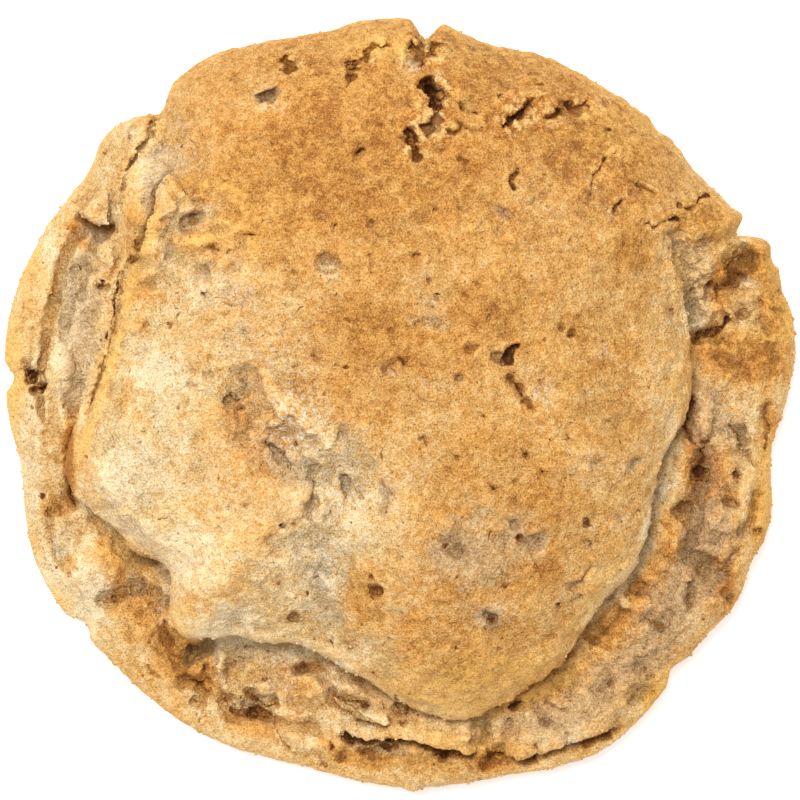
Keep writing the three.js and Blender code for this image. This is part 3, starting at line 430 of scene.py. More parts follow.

# Holes where gas or fat broke through: middle, half length, half width, turn, depth, and how much brown and
# shade is painted in.
HOLES = [
    (-52.3, 4.3, 1.5, 1.1, -50, 3.2, 0.9), (-51.3, 2.6, 0.9, 0.8, 0, 3, 1),
    (-22.8, -0.4, 1.3, 0.9, -45, 1.9, 0.5), (4.7, 43.8, 1.6, 1.2, 0, 3, 1),
    (10.1, 8, 1.1, 0.9, 0, 1.5, 0.5), (-42.1, 17.2, 1, 0.5, -25, 1.5, 0.7),
    (-37.3, 20.4, 0.9, 0.5, 20, 1.6, 0.8), (-25.6, 21.7, 0.9, 0.5, -30, 1.2, 0.75),
    (-6.5, 47.9, 1.1, 0.6, 10, 1.4, 0.7), (-6.6, 45.9, 0.9, 0.6, 30, 1.4, 0.75),
    (-18, 42.4, 1.6, 0.7, 15, 1.2, 0.45), (-5.3, 35.4, 0.6, 0.45, 0, 1.5, 1),
    (9.3, 34, 0.75, 0.45, -5, 1, 0.7), (23.8, 42, 1, 0.75, -10, 1.8, 1),
    (26.6, 41.9, 0.6, 0.3, 0, 1.2, 0.9), (29.3, 42.8, 0.9, 0.9, 0, 1.2, 0.5),
    (26.6, 43.1, 0.8, 0.35, 0, 1, 0.55), (43.4, -5.3, 0.9, 0.5, 30, 1.4, 0.8),
    (42.6, -9.9, 0.8, 0.6, 60, 1.8, 1), (44.8, -22.3, 1.6, 0.8, -30, 1.6, 0.45),
    (46.6, -27.3, 0.6, 0.9, 0, 1, 0.55), (-1.6, -48.6, 1.3, 0.7, 20, 1.6, 0.8),
    (-7, -47.7, 1.2, 0.7, -30, 1.6, 0.8), (-4.7, -49.5, 1.3, 0.5, -15, 1.2, 0.8),
    (6.1, -49.7, 1.5, 0.7, -15, 1.6, 0.85), (3.7, -49.4, 1, 0.4, 0, 1, 0.7),
    (-9.7, -48.7, 0.4, 0.7, 0, 1.2, 0.75), (-19, -38.8, 0.5, 0.4, 0, 1.2, 0.8),
    (-14.6, -37, 0.8, 0.4, 0, 0.6, 0.35), (-40.5, -27.7, 0.7, 0.35, 0, 1, 0.9),
    (-37.4, -25.6, 1.2, 0.5, 20, 1.4, 0.35), (-29.8, -35.7, 1.9, 0.8, 40, 1.2, 0.35),
    (-27.5, -38.1, 0.5, 0.9, 10, 1.2, 0.6), (28.1, -33.8, 1.5, 0.8, 20, 1.2, 0.4),
    (34.1, -25.7, 0.8, 1, 0, 1.2, 0.45), (0.4, -45, 0.5, 0.4, 0, 0.8, 0.7),
    (-0.4, -41.4, 0.4, 0.3, 0, 0.8, 0.8), (-28.7, 26.1, 0.9, 0.45, 15, 1, 0.6),
    (-27.1, 15.6, 0.8, 0.3, 35, 1, 0.85), (-18, 9.7, 0.5, 0.4, 20, 0.9, 0.95),
    (-11.5, 6.8, 0.35, 0.7, 20, 0.9, 0.75), (-7.6, 5.3, 0.7, 0.35, -30, 0.9, 0.75),
    (13.1, -30, 0.4, 0.5, 0, 1, 1), (35, 2.9, 0.6, 0.35, -35, 0.9, 0.8),
    (-16.1, -16.8, 0.5, 0.25, -20, 0.8, 0.95), (21.1, -13.8, 0.25, 0.5, -25, 0.8, 0.9),
    (3.2, -4.4, 0.6, 0.35, 0, 0.8, 0.75), (23.5, -4.6, 0.6, 0.5, -40, 1, 0.6),
    (20.7, -5.1, 0.35, 0.6, 0, 1, 0.6),
]

# Small round pits: middle, radius, and how much brown and shade is painted in.
PITS = [
    (4, 17.5, 0.4, 0.8), (5.3, 14.7, 0.55, 0.6), (4.7, 13.6, 0.35, 0.7), (2.4, 11.2, 0.45, 0.6),
    (3.6, 10.5, 0.4, 0.6), (7.9, 9.3, 0.45, 0.55), (8.9, 9.4, 0.4, 0.5), (3.5, 0.8, 0.35, 0.6),
    (11.8, -1.5, 0.4, 0.6), (3.5, -5.4, 0.3, 0.7), (7.8, -7.5, 0.35, 0.6), (9.8, -5.3, 0.3, 0.6),
    (17.6, -6.8, 0.5, 0.9), (20, -9.4, 0.4, 0.95), (26.6, -3.9, 0.45, 0.95), (23.3, -3.2, 0.3, 0.9),
    (23.9, -2.6, 0.25, 0.8), (21.5, -7.2, 0.35, 0.6), (19.3, -2.2, 0.3, 0.8), (17.9, 7.5, 0.3, 0.8),
    (19.3, 7.1, 0.3, 0.7), (22.7, 10.4, 0.4, 0.6), (23.9, 10, 0.5, 0.8), (25.2, 8.1, 0.25, 0.8),
    (26.4, 6, 0.45, 0.6), (28, 7.1, 0.3, 0.8), (9.3, 18.1, 0.4, 0.7), (9.1, 15.4, 0.4, 0.5),
    (1.7, -1.4, 0.3, 0.6), (16, -10.4, 0.35, 0.9), (18.3, -11.4, 0.35, 0.5), (13.4, 14.1, 0.35, 0.6),
    (12.3, 12.2, 0.3, 0.5), (30.6, 12, 0.35, 0.6), (38.4, 13.2, 0.4, 0.7), (16.9, -18.8, 0.5, 0.9),
    (6.3, -19.6, 0.4, 0.95), (26.1, -16.6, 0.5, 0.9), (26.7, -19, 0.35, 0.7), (23.5, -9.9, 0.25, 0.8),
    (8.1, -33.7, 0.45, 1), (12, -28.9, 0.6, 0.5), (25.3, -27.1, 0.25, 0.8), (22.6, -27.9, 0.4, 0.7),
    (14.6, -25.4, 0.25, 0.8), (21.1, -33.4, 0.25, 0.8), (31.2, -16.5, 0.4, 0.7),
    (33.5, -14.9, 0.35, 0.7), (17.8, -22, 0.35, 0.5), (19.4, -22.7, 0.3, 0.5), (0.6, -21, 0.3, 0.8),
    (-1.8, -14.8, 0.35, 0.8), (-6.5, -16.2, 0.3, 0.8), (-9.6, -14.7, 0.25, 0.8),
    (-7.6, -12.9, 0.25, 0.8), (-3.9, -23.9, 0.6, 0.6), (-9.4, -23.6, 0.35, 0.7),
    (-12.9, -26.2, 0.3, 0.9), (-11.5, -24.2, 0.3, 0.7), (-11, -22.2, 0.3, 0.6),
    (-7.5, -20.8, 0.6, 0.2), (-16.5, -25, 0.25, 0.7), (-10.2, -28.5, 0.2, 0.9),
    (4.6, -18.3, 0.45, 0.8), (2.6, -18.2, 0.3, 0.7), (0.6, -16.1, 0.25, 0.8),
    (-21.2, -13.9, 0.35, 0.5), (-23.9, -14.2, 0.3, 0.7), (-6.9, -34.2, 0.7, 0.25),
    (-20.2, 13.2, 0.35, 0.9), (-19.8, 12.1, 0.3, 0.8), (-22.1, 13.5, 0.4, 0.6),
    (-23.3, 13.6, 0.35, 0.5), (-8.7, 15, 0.4, 0.9), (-13.4, 13.7, 0.3, 0.7), (-6.9, 13.2, 0.35, 0.6),
    (-7.3, 11.9, 0.45, 0.8), (-8.7, 9.3, 0.35, 0.6), (-21.5, 10.1, 0.6, 0.35), (-26.6, 4.2, 0.7, 0.35),
    (-28.8, 2.8, 0.5, 0.35), (-28.4, 4.7, 0.5, 0.3), (-3.9, 9.4, 0.3, 0.5), (-5.4, 7.8, 0.3, 0.5),
    (-16.4, -7, 0.55, 0.85), (-14.4, -5.6, 0.35, 0.7), (-2.6, -7.1, 0.35, 0.6),
    (-35.9, 28.9, 0.25, 0.8), (-30.6, 36.1, 0.3, 0.5), (-28.7, 36.8, 0.3, 0.5),
    (-48.5, 22.5, 0.35, 0.6), (-50.8, 20.2, 0.3, 0.8), (-52, 20.2, 0.35, 0.3),
    (-53.3, 17.7, 0.35, 0.3), (-44.3, 19.5, 0.5, 0.35), (-23.6, 21.1, 0.35, 0.8),
    (-30.9, 12.5, 0.3, 0.6), (-32.1, 11.3, 0.5, 0.6), (-25.7, 11.9, 0.25, 0.6),
    (-35.5, 11.2, 0.5, 0.5), (-32.5, 25.6, 0.7, 0.4), (-33.6, 20.8, 0.5, 0.3), (-22.5, 15, 0.35, 0.5),
    (-18.9, 25.5, 0.3, 0.8), (-9, 24.8, 0.5, 0.85), (-10.1, 23.7, 0.3, 0.6), (-3.7, 25.4, 0.4, 0.6),
    (-2.4, 30, 0.5, 0.6), (2.5, 20.9, 0.55, 0.8), (0.8, 20.9, 0.25, 0.9), (5.5, 21.6, 0.3, 0.7),
    (6, 35.2, 0.2, 0.9), (-11.6, 43.2, 0.3, 0.8), (-14.6, 18.6, 0.4, 0.4), (-3.7, 18.4, 0.4, 0.4),
    (5.1, 27.3, 0.4, 0.5), (-2.1, 44.9, 0.3, 0.6), (-7.3, 44.5, 0.4, 0.6), (29.5, 38.8, 0.4, 0.8),
    (24.9, 28.8, 0.3, 0.7), (21, 28.4, 0.25, 0.7), (18.6, 28.1, 0.4, 0.5), (11.9, 24.4, 0.4, 0.6),
    (15.1, 23.4, 0.3, 0.5), (28.6, 8.9, 0.3, 0.7), (34, 7.7, 0.25, 0.7), (29.4, -2.2, 0.35, 0.6),
    (31, -5.3, 0.35, 0.9), (33, -10.2, 0.3, 0.7), (-50.7, -13.1, 0.35, 0.9), (-49.7, -15.8, 0.5, 0.3),
    (-43, 29.7, 0.5, 0.35), (-45.8, 29, 0.5, 0.35), (-38, 37.7, 0.5, 0.4), (-35.6, -29.3, 0.3, 0.8),
    (-36.9, -31.3, 0.25, 0.5), (-35.7, -33.9, 0.25, 0.5), (-45.5, 27.3, 0.4, 0.8),
    (34.9, -37.7, 0.4, 0.95), (36.1, -38.7, 0.4, 0.5), (41.6, -29.5, 0.45, 0.8),
    (43.3, -30.2, 0.35, 0.7), (46.8, -3.1, 0.4, 0.7), (48.3, -8.8, 0.35, 0.5), (51, -18, 0.4, 0.4),
    (51.3, -12.8, 0.4, 0.35), (-23.8, -37.1, 0.3, 0.6), (2, -49.1, 0.3, 0.5), (10.4, -52.1, 0.5, 0.4),
    (-26.5, 6.9, 0.3, 0.4), (-35.4, -3.5, 0.35, 0.6), (-36, -5.2, 0.3, 0.7), (-5.2, -30.8, 0.3, 0.4),
    (0.1, -21.5, 0.25, 0.8), (-48.1, -23.8, 0.5, 0.35), (-47.1, -24.2, 0.3, 0.6),
    (54.4, 16, 0.35, 0.5), (42.7, 0.1, 0.3, 0.7), (44.4, -0.3, 0.3, 0.7), (42.8, 23.3, 0.4, 0.4),
]

# Rings of the sheet from the crown's middle outwards (ring k has 6k corners), and of the wall.
CROWN_RINGS = 196
UNDERCUT_RINGS = 14
SKIRT_RINGS = 74
WALL_RINGS = 16
FOOT_RINGS = 10
FINISHED_TRIANGLES = 190_000
# The side wall from the outline down: inset, more inset where the crown runs out, share of the height.
WALL_PROFILE = [(0.0, 0.0, 1.0), (0.3, 0.4, 0.7), (1.0, 1.3, 0.4), (1.5, 0.6, 0.14), (2.4, 0.4, 0.0)]
END_FADE = 0.12  # share of a line over which each of its ends fades

# Noise that shapes the relief: size of its lumps and strength, layer by layer, and its first seed.
SHAKE, SHAKE_SEEDS = [(2.6, 0.3), (0.8, 0.25)], (11, 13)
RAGGEDNESS, RAGGED_SEED = [(1.2, 1.1)], 15
WAVINESS, WAVY_SEEDS = [(3.4, 0.7)], (16, 17)
TEARING, TORN_SEEDS = [(0.9, 0.6)], (18, 19)
SOFT_SWELLS, SOFT_SEED = [(9.0, 0.60), (4.2, 0.45)], 21
LEATHERY_SKIN, LEATHERY_SEED = [(2.0, 0.26), (0.9, 0.12)], 23
BROKEN_SKIN, BROKEN_SEED = [(2.8, 0.75), (1.4, 0.45)], 25
CRAGS, CRAGS_SEED, CRAG_FLOOR = [(7.0, 0.9), (3.0, 0.6)], 31, 0.3
GRIT, GRIT_SEED = [(1.4, 0.34), (0.7, 0.16)], 33
STRANDS, STRANDS_SEED = [(2.4, 5, 0.6), (1.2, 10, 0.3)], 35  # width, how many round the cookie, strength
RIM_GRIT, RIM_GRIT_SEED = (1.1, 0.45), 37
TORN_DOUGH_SIZE, TORN_DOUGH_SEED = 5.0, 41

# Cracks open wide at the top and fade out ragged; folds of the skirt are wider and end in a point.
FOLD_SPREAD = 2.4
FOLD_SHADE = 0.9
CRACK_SHADE = 1.15
CRACK_RAGGEDNESS = (0.6, 1.6)
CRUMBLED_DEPTH = 2.4
LEDGE_FOOT = (0.3, 0.7, 0.8)  # how far before the step its foot lies, half width, depth
CROWN_LUMPS_GAIN = 1.4
PIT_WIDTH = 0.75
PIT_DEPTH = 0.3
PIT_DARKNESS = 1.1
HOLE_RAGGEDNESS = (0.6, 1.5)
PORES = 360
PORES_FAR = 56
PORE_RADIUS = (0.10, 0.24)
PORE_DARKNESS = 0.75
CREASE_PAINTED_SHADE = 0.25
CREASE_WIDTH = 1.1
FLAT_BELOW = 1.5  # the wall's relief fades out towards the foot from this height
FINE_DIP = 0.14
BROAD_DIP = 0.7
FINE_DIP_ROUNDS = 10
BROAD_DIP_ROUNDS = 60
CREST_BAND = 6  # how far in from the outline the relief grows to its full strength
LEAST_FREE = 0.3
PLAIN_BROWNING, SIDE_BROWNING = 0.36, 0.62
PLAIN_MOISTNESS, SIDE_MOISTNESS = 0.05, 0.1
RIM_BAND = 2.5  # how far in from the outline the rim is gilded
RIM_GILT = 0.35
PLAIN_BROKEN = 0.12
# How thick crumbs lie: all over above the table, on torn dough, in seams and on the cracks' rims.
THIN_CRUMBS, TORN_CRUMBS, SEAM_CRUMBS, RIM_CRUMBS = 0.06, 0.45, 0.5, 0.7


def eased(value):
    t = np.clip(value, 0, 1)
    return t * t * (3 - 2 * t)


def turn_between(a, b):
    gap = np.mod(a - b, 360)
    return np.minimum(gap, 360 - gap)


def sum_of_swells(swells, turn):
    return sum(size * eased(1 - turn_between(turn, at) / half) for at, half, size in swells)


def step_at(turn):
    return eased((turn_between(turn, MERGE_TURN) - MERGE_HALF) / MERGE_FADE)


def edge_reach(turn, nicks):
    """Distance from the crown's middle to the outline, which is given about the origin."""
    ux, uy = np.cos(np.radians(turn)), np.sin(np.radians(turn))
    reach = np.full_like(turn, EDGE_RADIUS)
    for _ in range(8):
        x, y = CROWN_MIDDLE[0] + reach * ux, CROWN_MIDDLE[1] + reach * uy
        about = np.degrees(np.arctan2(y, x))
        reach += EDGE_RADIUS + sum_of_swells(EDGE_SWELLS + nicks, about) - np.hypot(x, y)
    return reach


def hexed_rings(count):
    """Ring and direction of every corner of a disc whose ring k has 6k corners, and its triangles."""
    ring = np.concatenate([[0]] + [np.full(6 * k, k) for k in range(1, count + 1)])
    turn = np.concatenate([[0.0]] + [np.arange(6 * k) * 60.0 / k for k in range(1, count + 1)])
    faces = []
    for k in range(1, count + 1):
        outer = 3 * k * (k - 1) + 1
        inner = 3 * (k - 1) * (k - 2) + 1 if k > 1 else 0
        sector = np.repeat(np.arange(6), k)
        i = np.tile(np.arange(k), 6)
        a = sector * k + i
        c = (sector * (k - 1) + i) % max(6 * (k - 1), 1)
        faces.append(np.stack([inner + c, outer + a, outer + (a + 1) % (6 * k)], 1))
        if k > 1:
            more = np.stack([inner + c, outer + (a + 1) % (6 * k), inner + (c + 1) % (6 * (k - 1))], 1)
            faces.append(more[i < k - 1])
    return ring, turn, np.concatenate(faces)


def dough_noise(x, y, z, size, seed):
    """Smooth random swell, about -1 to 1, with lumps of the given size."""
    spots = [v / size for v in (x, y, z)]
    cells = [np.floor(v).astype(np.int64) for v in spots]
    parts = [v - c for v, c in zip(spots, cells)]
    blends = [t * t * t * (t * (t * 6 - 15) + 10) for t in parts]
    total = np.zeros_like(x)
    for corner in range(8):
        bits = [corner & 1, (corner >> 1) & 1, corner >> 2]
        key = sum((c + b) * k for c, b, k in zip(cells, bits, (374761393, 668265263, 2246822519)))
        key = (key + seed * 3266489917) & 0xFFFFFFFF
        key = ((key ^ (key >> 15)) * 2246822519) & 0xFFFFFFFF
        key = ((key ^ (key >> 13)) * 3266489917) & 0xFFFFFFFF
        key ^= key >> 16
        weight = np.ones_like(x)
        slope = np.zeros_like(x)
        for axis in range(3):
            weight *= blends[axis] if bits[axis] else 1 - blends[axis]
            pull = ((key >> (10 * axis)) & 1023) / 511.5 - 1
            slope += pull * (parts[axis] - bits[axis])
        total += weight * slope
    return total * 1.3


def layered_noise(x, y, z, layers, seed, start=0):
    """A start value with noise added: size and strength of each layer, and the first one's seed."""
    return sum((much * dough_noise(x, y, z, size, seed + k) for k, (size, much) in enumerate(layers)), start)


def from_middle(x, y, mx, my, turned):
    """Places along and across a patch with this middle, turned by so many degrees."""
    cos, sin = math.cos(math.radians(turned)), math.sin(math.radians(turned))
    return (x - mx) * cos + (y - my) * sin, (y - my) * cos - (x - mx) * sin


def place_on_path(path, x, y, reach):
    """Points near a line: index, distance (+ on its left), fade towards its ends, way to its left."""
    path = np.array(path)
    low, high = path.min(0) - reach, path.max(0) + reach
    near = np.nonzero((x > low[0]) & (x < high[0]) & (y > low[1]) & (y < high[1]))[0]
    px, py = x[near], y[near]
    best = np.full(len(near), 1e9)
    signed, share, way_x, way_y = (np.zeros(len(near)) for _ in range(4))
    lengths = np.hypot(*(path[1:] - path[:-1]).T)
    done = 0.0
    for (ax, ay), (bx, by), length in zip(path[:-1], path[1:], lengths):
        ex, ey = (bx - ax) / length, (by - ay) / length
        along = np.clip((px - ax) * ex + (py - ay) * ey, 0, length)
        dx, dy = px - ax - along * ex, py - ay - along * ey
        gap = np.hypot(dx, dy)
        side = np.where(ex * dy - ey * dx >= 0, 1.0, -1.0)
        closer = gap < best
        best = np.where(closer, gap, best)
        signed = np.where(closer, side * gap, signed)
        share = np.where(closer, (done + along) / lengths.sum(), share)
        way_x = np.where(closer, -ey, way_x)
        way_y = np.where(closer, ex, way_y)
        done += length
    kept = best < reach
    fade = eased(np.minimum(share, 1 - share) / END_FADE)
    return near[kept], signed[kept], fade[kept], way_x[kept], way_y[kept]


# The sheet's plain form: crown, undercut and skirt, as in the solid model.
ring_count = CROWN_RINGS + UNDERCUT_RINGS + SKIRT_RINGS
ring, turn, sheet_faces = hexed_rings(ring_count)
on_crown = ring <= CROWN_RINGS
on_undercut = (ring > CROWN_RINGS) & (ring <= CROWN_RINGS + UNDERCUT_RINGS)
on_skirt = ring > CROWN_RINGS + UNDERCUT_RINGS
share = np.where(on_crown, ring / CROWN_RINGS, (ring - CROWN_RINGS) / UNDERCUT_RINGS)
share = np.where(on_skirt, (ring - CROWN_RINGS - UNDERCUT_RINGS) / SKIRT_RINGS, share)
step = step_at(turn)
crown = CROWN_RADIUS + sum_of_swells(CROWN_SWELLS, turn)
edge = edge_reach(turn, [])
nick = edge_reach(turn, EDGE_NICKS) - edge
crown_edge = CROWN_EDGE_HEIGHT + sum_of_swells(CROWN_EDGE_LIFTS, turn)
foot = SKIRT_HEIGHT + sum_of_swells(SKIRT_LIFTS, turn)
waist = SIDE_WAIST + (SKIRT_WAIST - SIDE_WAIST) * step
crease_reach = crown + (1 - step) * MERGE_SPAN - step * OVERHANG
reach = np.where(
    on_crown,
    share * crown,
    np.where(
        on_undercut,
        crown + (1 - step) * MERGE_SPAN * share - step * OVERHANG * (1 - np.cos(np.pi * share)) / 2,
        crease_reach + share * (edge - crease_reach),
    ),
)
dome = (1 - np.clip(share, 0, 1) ** CROWN_ROUNDNESS) ** SHOULDER_POWER
inward = np.clip((edge - reach) / EDGE_ROUNDING, 0, 1)
stepped = np.where(
    on_crown,
    crown_edge + (CROWN_TOP - crown_edge) * dome,
    np.where(
        on_undercut,
        crown_edge - (crown_edge - foot) * np.sin(np.pi / 2 * share),
        waist + (foot - waist) * np.sqrt(1 - (1 - inward) ** 2),
    ),
)
run_out = (1 - np.minimum(reach / edge, 1) ** SIDE_ROUNDNESS) ** SHOULDER_POWER
merged = waist + (CROWN_TOP - waist) * run_out
nicked = reach + nick * eased(1 - (edge - reach) / NICK_REACH)
x = CROWN_MIDDLE[0] + nicked * np.cos(np.radians(turn))
y = CROWN_MIDDLE[1] + nicked * np.sin(np.radians(turn))
z = step * stepped + (1 - step) * merged

# The relief is read at a slightly shaken place, so that cracks and holes come out ragged.
shaken_x = layered_noise(x, y, z, SHAKE, SHAKE_SEEDS[0], x)
shaken_y = layered_noise(x, y, z, SHAKE, SHAKE_SEEDS[1], y)
raggedness = layered_noise(x, y, z, RAGGEDNESS, RAGGED_SEED, 1)
wavy_x = layered_noise(x, y, z, WAVINESS, WAVY_SEEDS[0], shaken_x)
wavy_y = layered_noise(x, y, z, WAVINESS, WAVY_SEEDS[1], shaken_y)
torn_x = layered_noise(x, y, z, TEARING, TORN_SEEDS[0], shaken_x)
torn_y = layered_noise(x, y, z, TEARING, TORN_SEEDS[1], shaken_y)
drop, lean_x, lean_y, darkness, crumbs, swell = (np.zeros_like(x) for _ in range(6))


def points_on(zone):
    return on_crown if zone == "crown" else on_skirt if zone == "skirt" else np.ones_like(on_crown)


def near_line(zone, path, reach):
    """What place_on_path gives, for a zone's points at their shaken places."""
    found = place_on_path(path, shaken_x, shaken_y, reach)
    on = points_on(zone)[found[0]]
    return [values[on] for values in found]


def within(reach, mx, my):
    return np.nonzero((np.abs(x - mx) < reach) & (np.abs(y - my) < reach))[0]


def hole_shade(gap, most):
    """How much shade is painted in a hole, by the distance from its middle in radii."""
    return np.clip(1.15 - 0.7 * gap, 0, most)


for zone, half, depth, dark, path in CREASES:
    at, signed, fade, _, _ = near_line(zone, path, half * FOLD_SPREAD + 1.0)
    off = np.abs(signed) / (half * np.clip(raggedness[at], *CRACK_RAGGEDNESS))
    folded = zone == "skirt" and depth > 0
    fold = np.clip(1 - np.abs(signed) / (FOLD_SPREAD * half), 0, 1) ** 2
    drop[at] += depth * fade * (fold if folded else eased(1 - off))
    shade = eased((FOLD_SHADE if folded else CRACK_SHADE) - off) ** 1.5
    darkness[at] = np.maximum(darkness[at], dark * fade * shade)
    if zone == "all" and depth > 0:
        crumbled = min(1.0, depth / CRUMBLED_DEPTH)
        on_rim = fade * eased((half * 1.2 + 1.0 - np.abs(signed)) / 0.9) * crumbled
        crumbs[at] = np.maximum(crumbs[at], on_rim)
foot_before, foot_half, foot_depth = LEDGE_FOOT
for zone, rise, back, half, lean, dark, path in LEDGES:
    at, signed, fade, way_x, way_y = near_line(zone, path, back)
    drop[at] -= rise * fade * eased(signed / half / 2 + 0.5) * eased(1 - signed / back)
    pushed = lean * fade * np.where(np.abs(signed) < half, np.sin(np.pi * signed / half), 0)
    lean_x[at] -= pushed * way_x
    lean_y[at] -= pushed * way_y
    foot_line = fade * eased(1 - np.abs(signed + foot_before + 0.6 * lean) / foot_half)
    drop[at] += foot_depth * foot_line
    darkness[at] = np.maximum(darkness[at], dark * foot_line)
for zone, mx, my, long, wide, turned, height in LUMPS:
    along, across = from_middle(wavy_x, wavy_y, mx, my, turned)
    gain = CROWN_LUMPS_GAIN if zone == "crown" else 1
    rounded = np.maximum(0, 1 - (along / long) ** 2 - (across / wide) ** 2) ** 2
    swell += points_on(zone) * height * gain * rounded
drop -= swell
pits = [
    (mx, my, PIT_WIDTH * radius, PIT_WIDTH * radius, 0, radius + PIT_DEPTH, PIT_DARKNESS * dark)
    for mx, my, radius, dark in PITS
]
for mx, my, long, wide, turned, depth, dark in HOLES + pits:
    near = within(2.2 * long + 0.3, mx, my)
    along, across = from_middle(torn_x[near], torn_y[near], mx, my, turned)
    gap = np.hypot(along / long, across / wide) / np.clip(raggedness[near], *HOLE_RAGGEDNESS)
    pointed = np.clip(1 - gap / 1.5, 0, 1) ** 1.5
    drop[near] += depth * np.where(on_skirt[near], pointed, eased((1.3 - gap) / 0.9))
    darkness[near] = np.maximum(darkness[near], dark * hole_shade(gap, 1.1))

# Small pores all over, a few to the square centimetre, with shade painted in them.
pore_draw = np.random.RandomState(5)
for _ in range(PORES):
    far = PORES_FAR * math.sqrt(pore_draw.uniform())
    way = pore_draw.uniform(0, 2 * math.pi)
    radius = PORE_RADIUS[0] + (PORE_RADIUS[1] - PORE_RADIUS[0]) * pore_draw.uniform() ** 2
    mx, my = far * math.cos(way), far * math.sin(way)
    near = within(radius * 2 + 0.5, mx, my)
    gap = np.hypot(torn_x[near] - mx, torn_y[near] - my) / radius
    drop[near] += radius * 1.2 * eased(1.2 - gap)
    darkness[near] = np.maximum(darkness[near], PORE_DARKNESS * hole_shade(gap, 1))

# Shade painted on the undercut and on the skirt just below the crown's edge, more in some directions than in
# others.
crease_painted_shade = CREASE_PAINTED_SHADE + sum_of_swells(CREASE_SHADES, turn)
below_crown = eased(1 - (reach - crease_reach) / CREASE_WIDTH)
under = np.where(on_undercut, eased(share * 1.3), np.where(on_skirt, below_crown, 0))
darkness = np.maximum(darkness, step * crease_painted_shade * under)

z = z - drop
x = x + lean_x
y = y + lean_y

# The side wall goes down from the outline and in, to the flat foot, which closes in rings.
around = 6 * ring_count
rim = slice(3 * ring_count * (ring_count - 1) + 1, 3 * ring_count * (ring_count + 1) + 1)
rim_turn = turn[rim]
tuck = 1 - step_at(rim_turn)
sheets = [np.stack([x, y, z], 1)]
faces = [sheet_faces]
upper = np.arange(rim.start, rim.stop)
next_corner = len(x)


def wall_ring(down):
    """The three columns of the wall's profile, at a share of the way down."""
    spot = down * (len(WALL_PROFILE) - 1)
    return [np.interp(spot, range(len(WALL_PROFILE)), column) for column in zip(*WALL_PROFILE)]


def join_rings(above, below):
    """Triangles between two rings of the same number of corners."""
    return [
        np.stack([above, below, np.roll(above, -1)], 1),
        np.stack([np.roll(above, -1), below, np.roll(below, -1)], 1),
    ]


for k in range(1, WALL_RINGS + 1):
    inset, tucked, height = wall_ring(k / WALL_RINGS)
    in_by = inset + tucked * tuck
    wall_x = x[rim] - in_by * np.cos(np.radians(rim_turn))
    wall_y = y[rim] - in_by * np.sin(np.radians(rim_turn))
    sheets.append(np.stack([wall_x, wall_y, z[rim] * height], 1))
    lower = np.arange(next_corner, next_corner + around)
    faces += join_rings(upper, lower)
    upper = lower
    next_corner += around
foot_edge = sheets[-1]
for k in range(1, FOOT_RINGS + 1):
    inner = foot_edge.copy()
    inner[:, :2] *= 1 - k / (FOOT_RINGS + 1)
    sheets.append(inner)
    lower = np.arange(next_corner, next_corner + around)
    faces += join_rings(upper, lower)
    upper = lower
    next_corner += around
sheets.append(np.zeros((1, 3)))
faces.append(np.stack([upper, np.full(around, next_corner), np.roll(upper, -1)], 1))
points = np.concatenate(sheets)
faces = np.concatenate(faces)

# Fine relief stands out from the surface: soft swells and a leathery skin on the crown, crags on
# the skirt and round the side.
cross = np.cross(points[faces[:, 1]] - points[faces[:, 0]], points[faces[:, 2]] - points[faces[:, 0]])
normals = np.zeros_like(points)
for corner in range(3):
    for axis in range(3):
        normals[:, axis] += np.bincount(faces[:, corner], cross[:, axis], len(points))
normals /= np.maximum(np.linalg.norm(normals, axis=1, keepdims=True), 1e-9)
side_count = len(points) - len(x)


def all_over(values, fill):
    """A value of the sheet, with one fill value for the wall and the foot."""
    return np.concatenate([values * np.ones(len(x)), np.full(side_count, float(fill))])


skin = all_over(np.where(on_crown, eased((1.0 - share) / 0.03 + 0.3), 0), 0)
skin = np.maximum(skin, all_over(1 - step, 0))
skin[len(x):] = np.resize(tuck, side_count)
# Patches where the crown's skin is broken up and lumpy: middle, half length, half width, turn, how much.
ROUGH = [
    (-29, 24, 9, 8, 0, 0.9), (-22, 18, 10, 8, 20, 0.7), (-20, 0, 9, 6, -25, 0.9),
    (-12, -8, 10, 5, -40, 0.8),
    (-9, 19, 5, 4, 0, 0.8), (6, 10, 8, 8, 0, 0.5), (16, 5, 8, 8, 0, 0.5), (12, -18, 10, 7, 0, 0.4),
    (-36, -16, 7, 4, -25, 0.9), (-18, -36, 14, 5, -10, 0.8), (10, 40, 22, 4, 0, 0.6),
    (40, 22, 6, 8, 0, 0.6),
    (-16, -22, 8, 14, 10, 0.4), (-33, 36, 5, 9, -20, 0.6),
]


def patches_at(patches, where, start):
    """A start value with the amount of every patch that reaches a point added to it."""
    total = np.full(len(where), float(start))
    for mx, my, long, wide, turned, amount in patches:
        along, across = from_middle(where[:, 0], where[:, 1], mx, my, turned)
        total += amount * eased(1.3 - np.hypot(along / long, across / wide))
    return total


px, py, pz = points.T
free = LEAST_FREE + (1 - LEAST_FREE) * all_over(eased((edge - reach) / CREST_BAND), 0)
raised = layered_noise(px, py, pz, SOFT_SWELLS, SOFT_SEED) * free
raised += layered_noise(px, py, pz, LEATHERY_SKIN, LEATHERY_SEED)
broken = np.clip(patches_at(ROUGH, points, PLAIN_BROKEN), 0, 1)
raised += broken * layered_noise(px, py, pz, BROKEN_SKIN, BROKEN_SEED)
crags = np.zeros_like(px)
for k, (size, much) in enumerate(CRAGS):
    crags += much * (np.abs(dough_noise(px, py, pz, size, CRAGS_SEED + k)) - CRAG_FLOOR)
crags += layered_noise(px, py, pz, GRIT, GRIT_SEED)
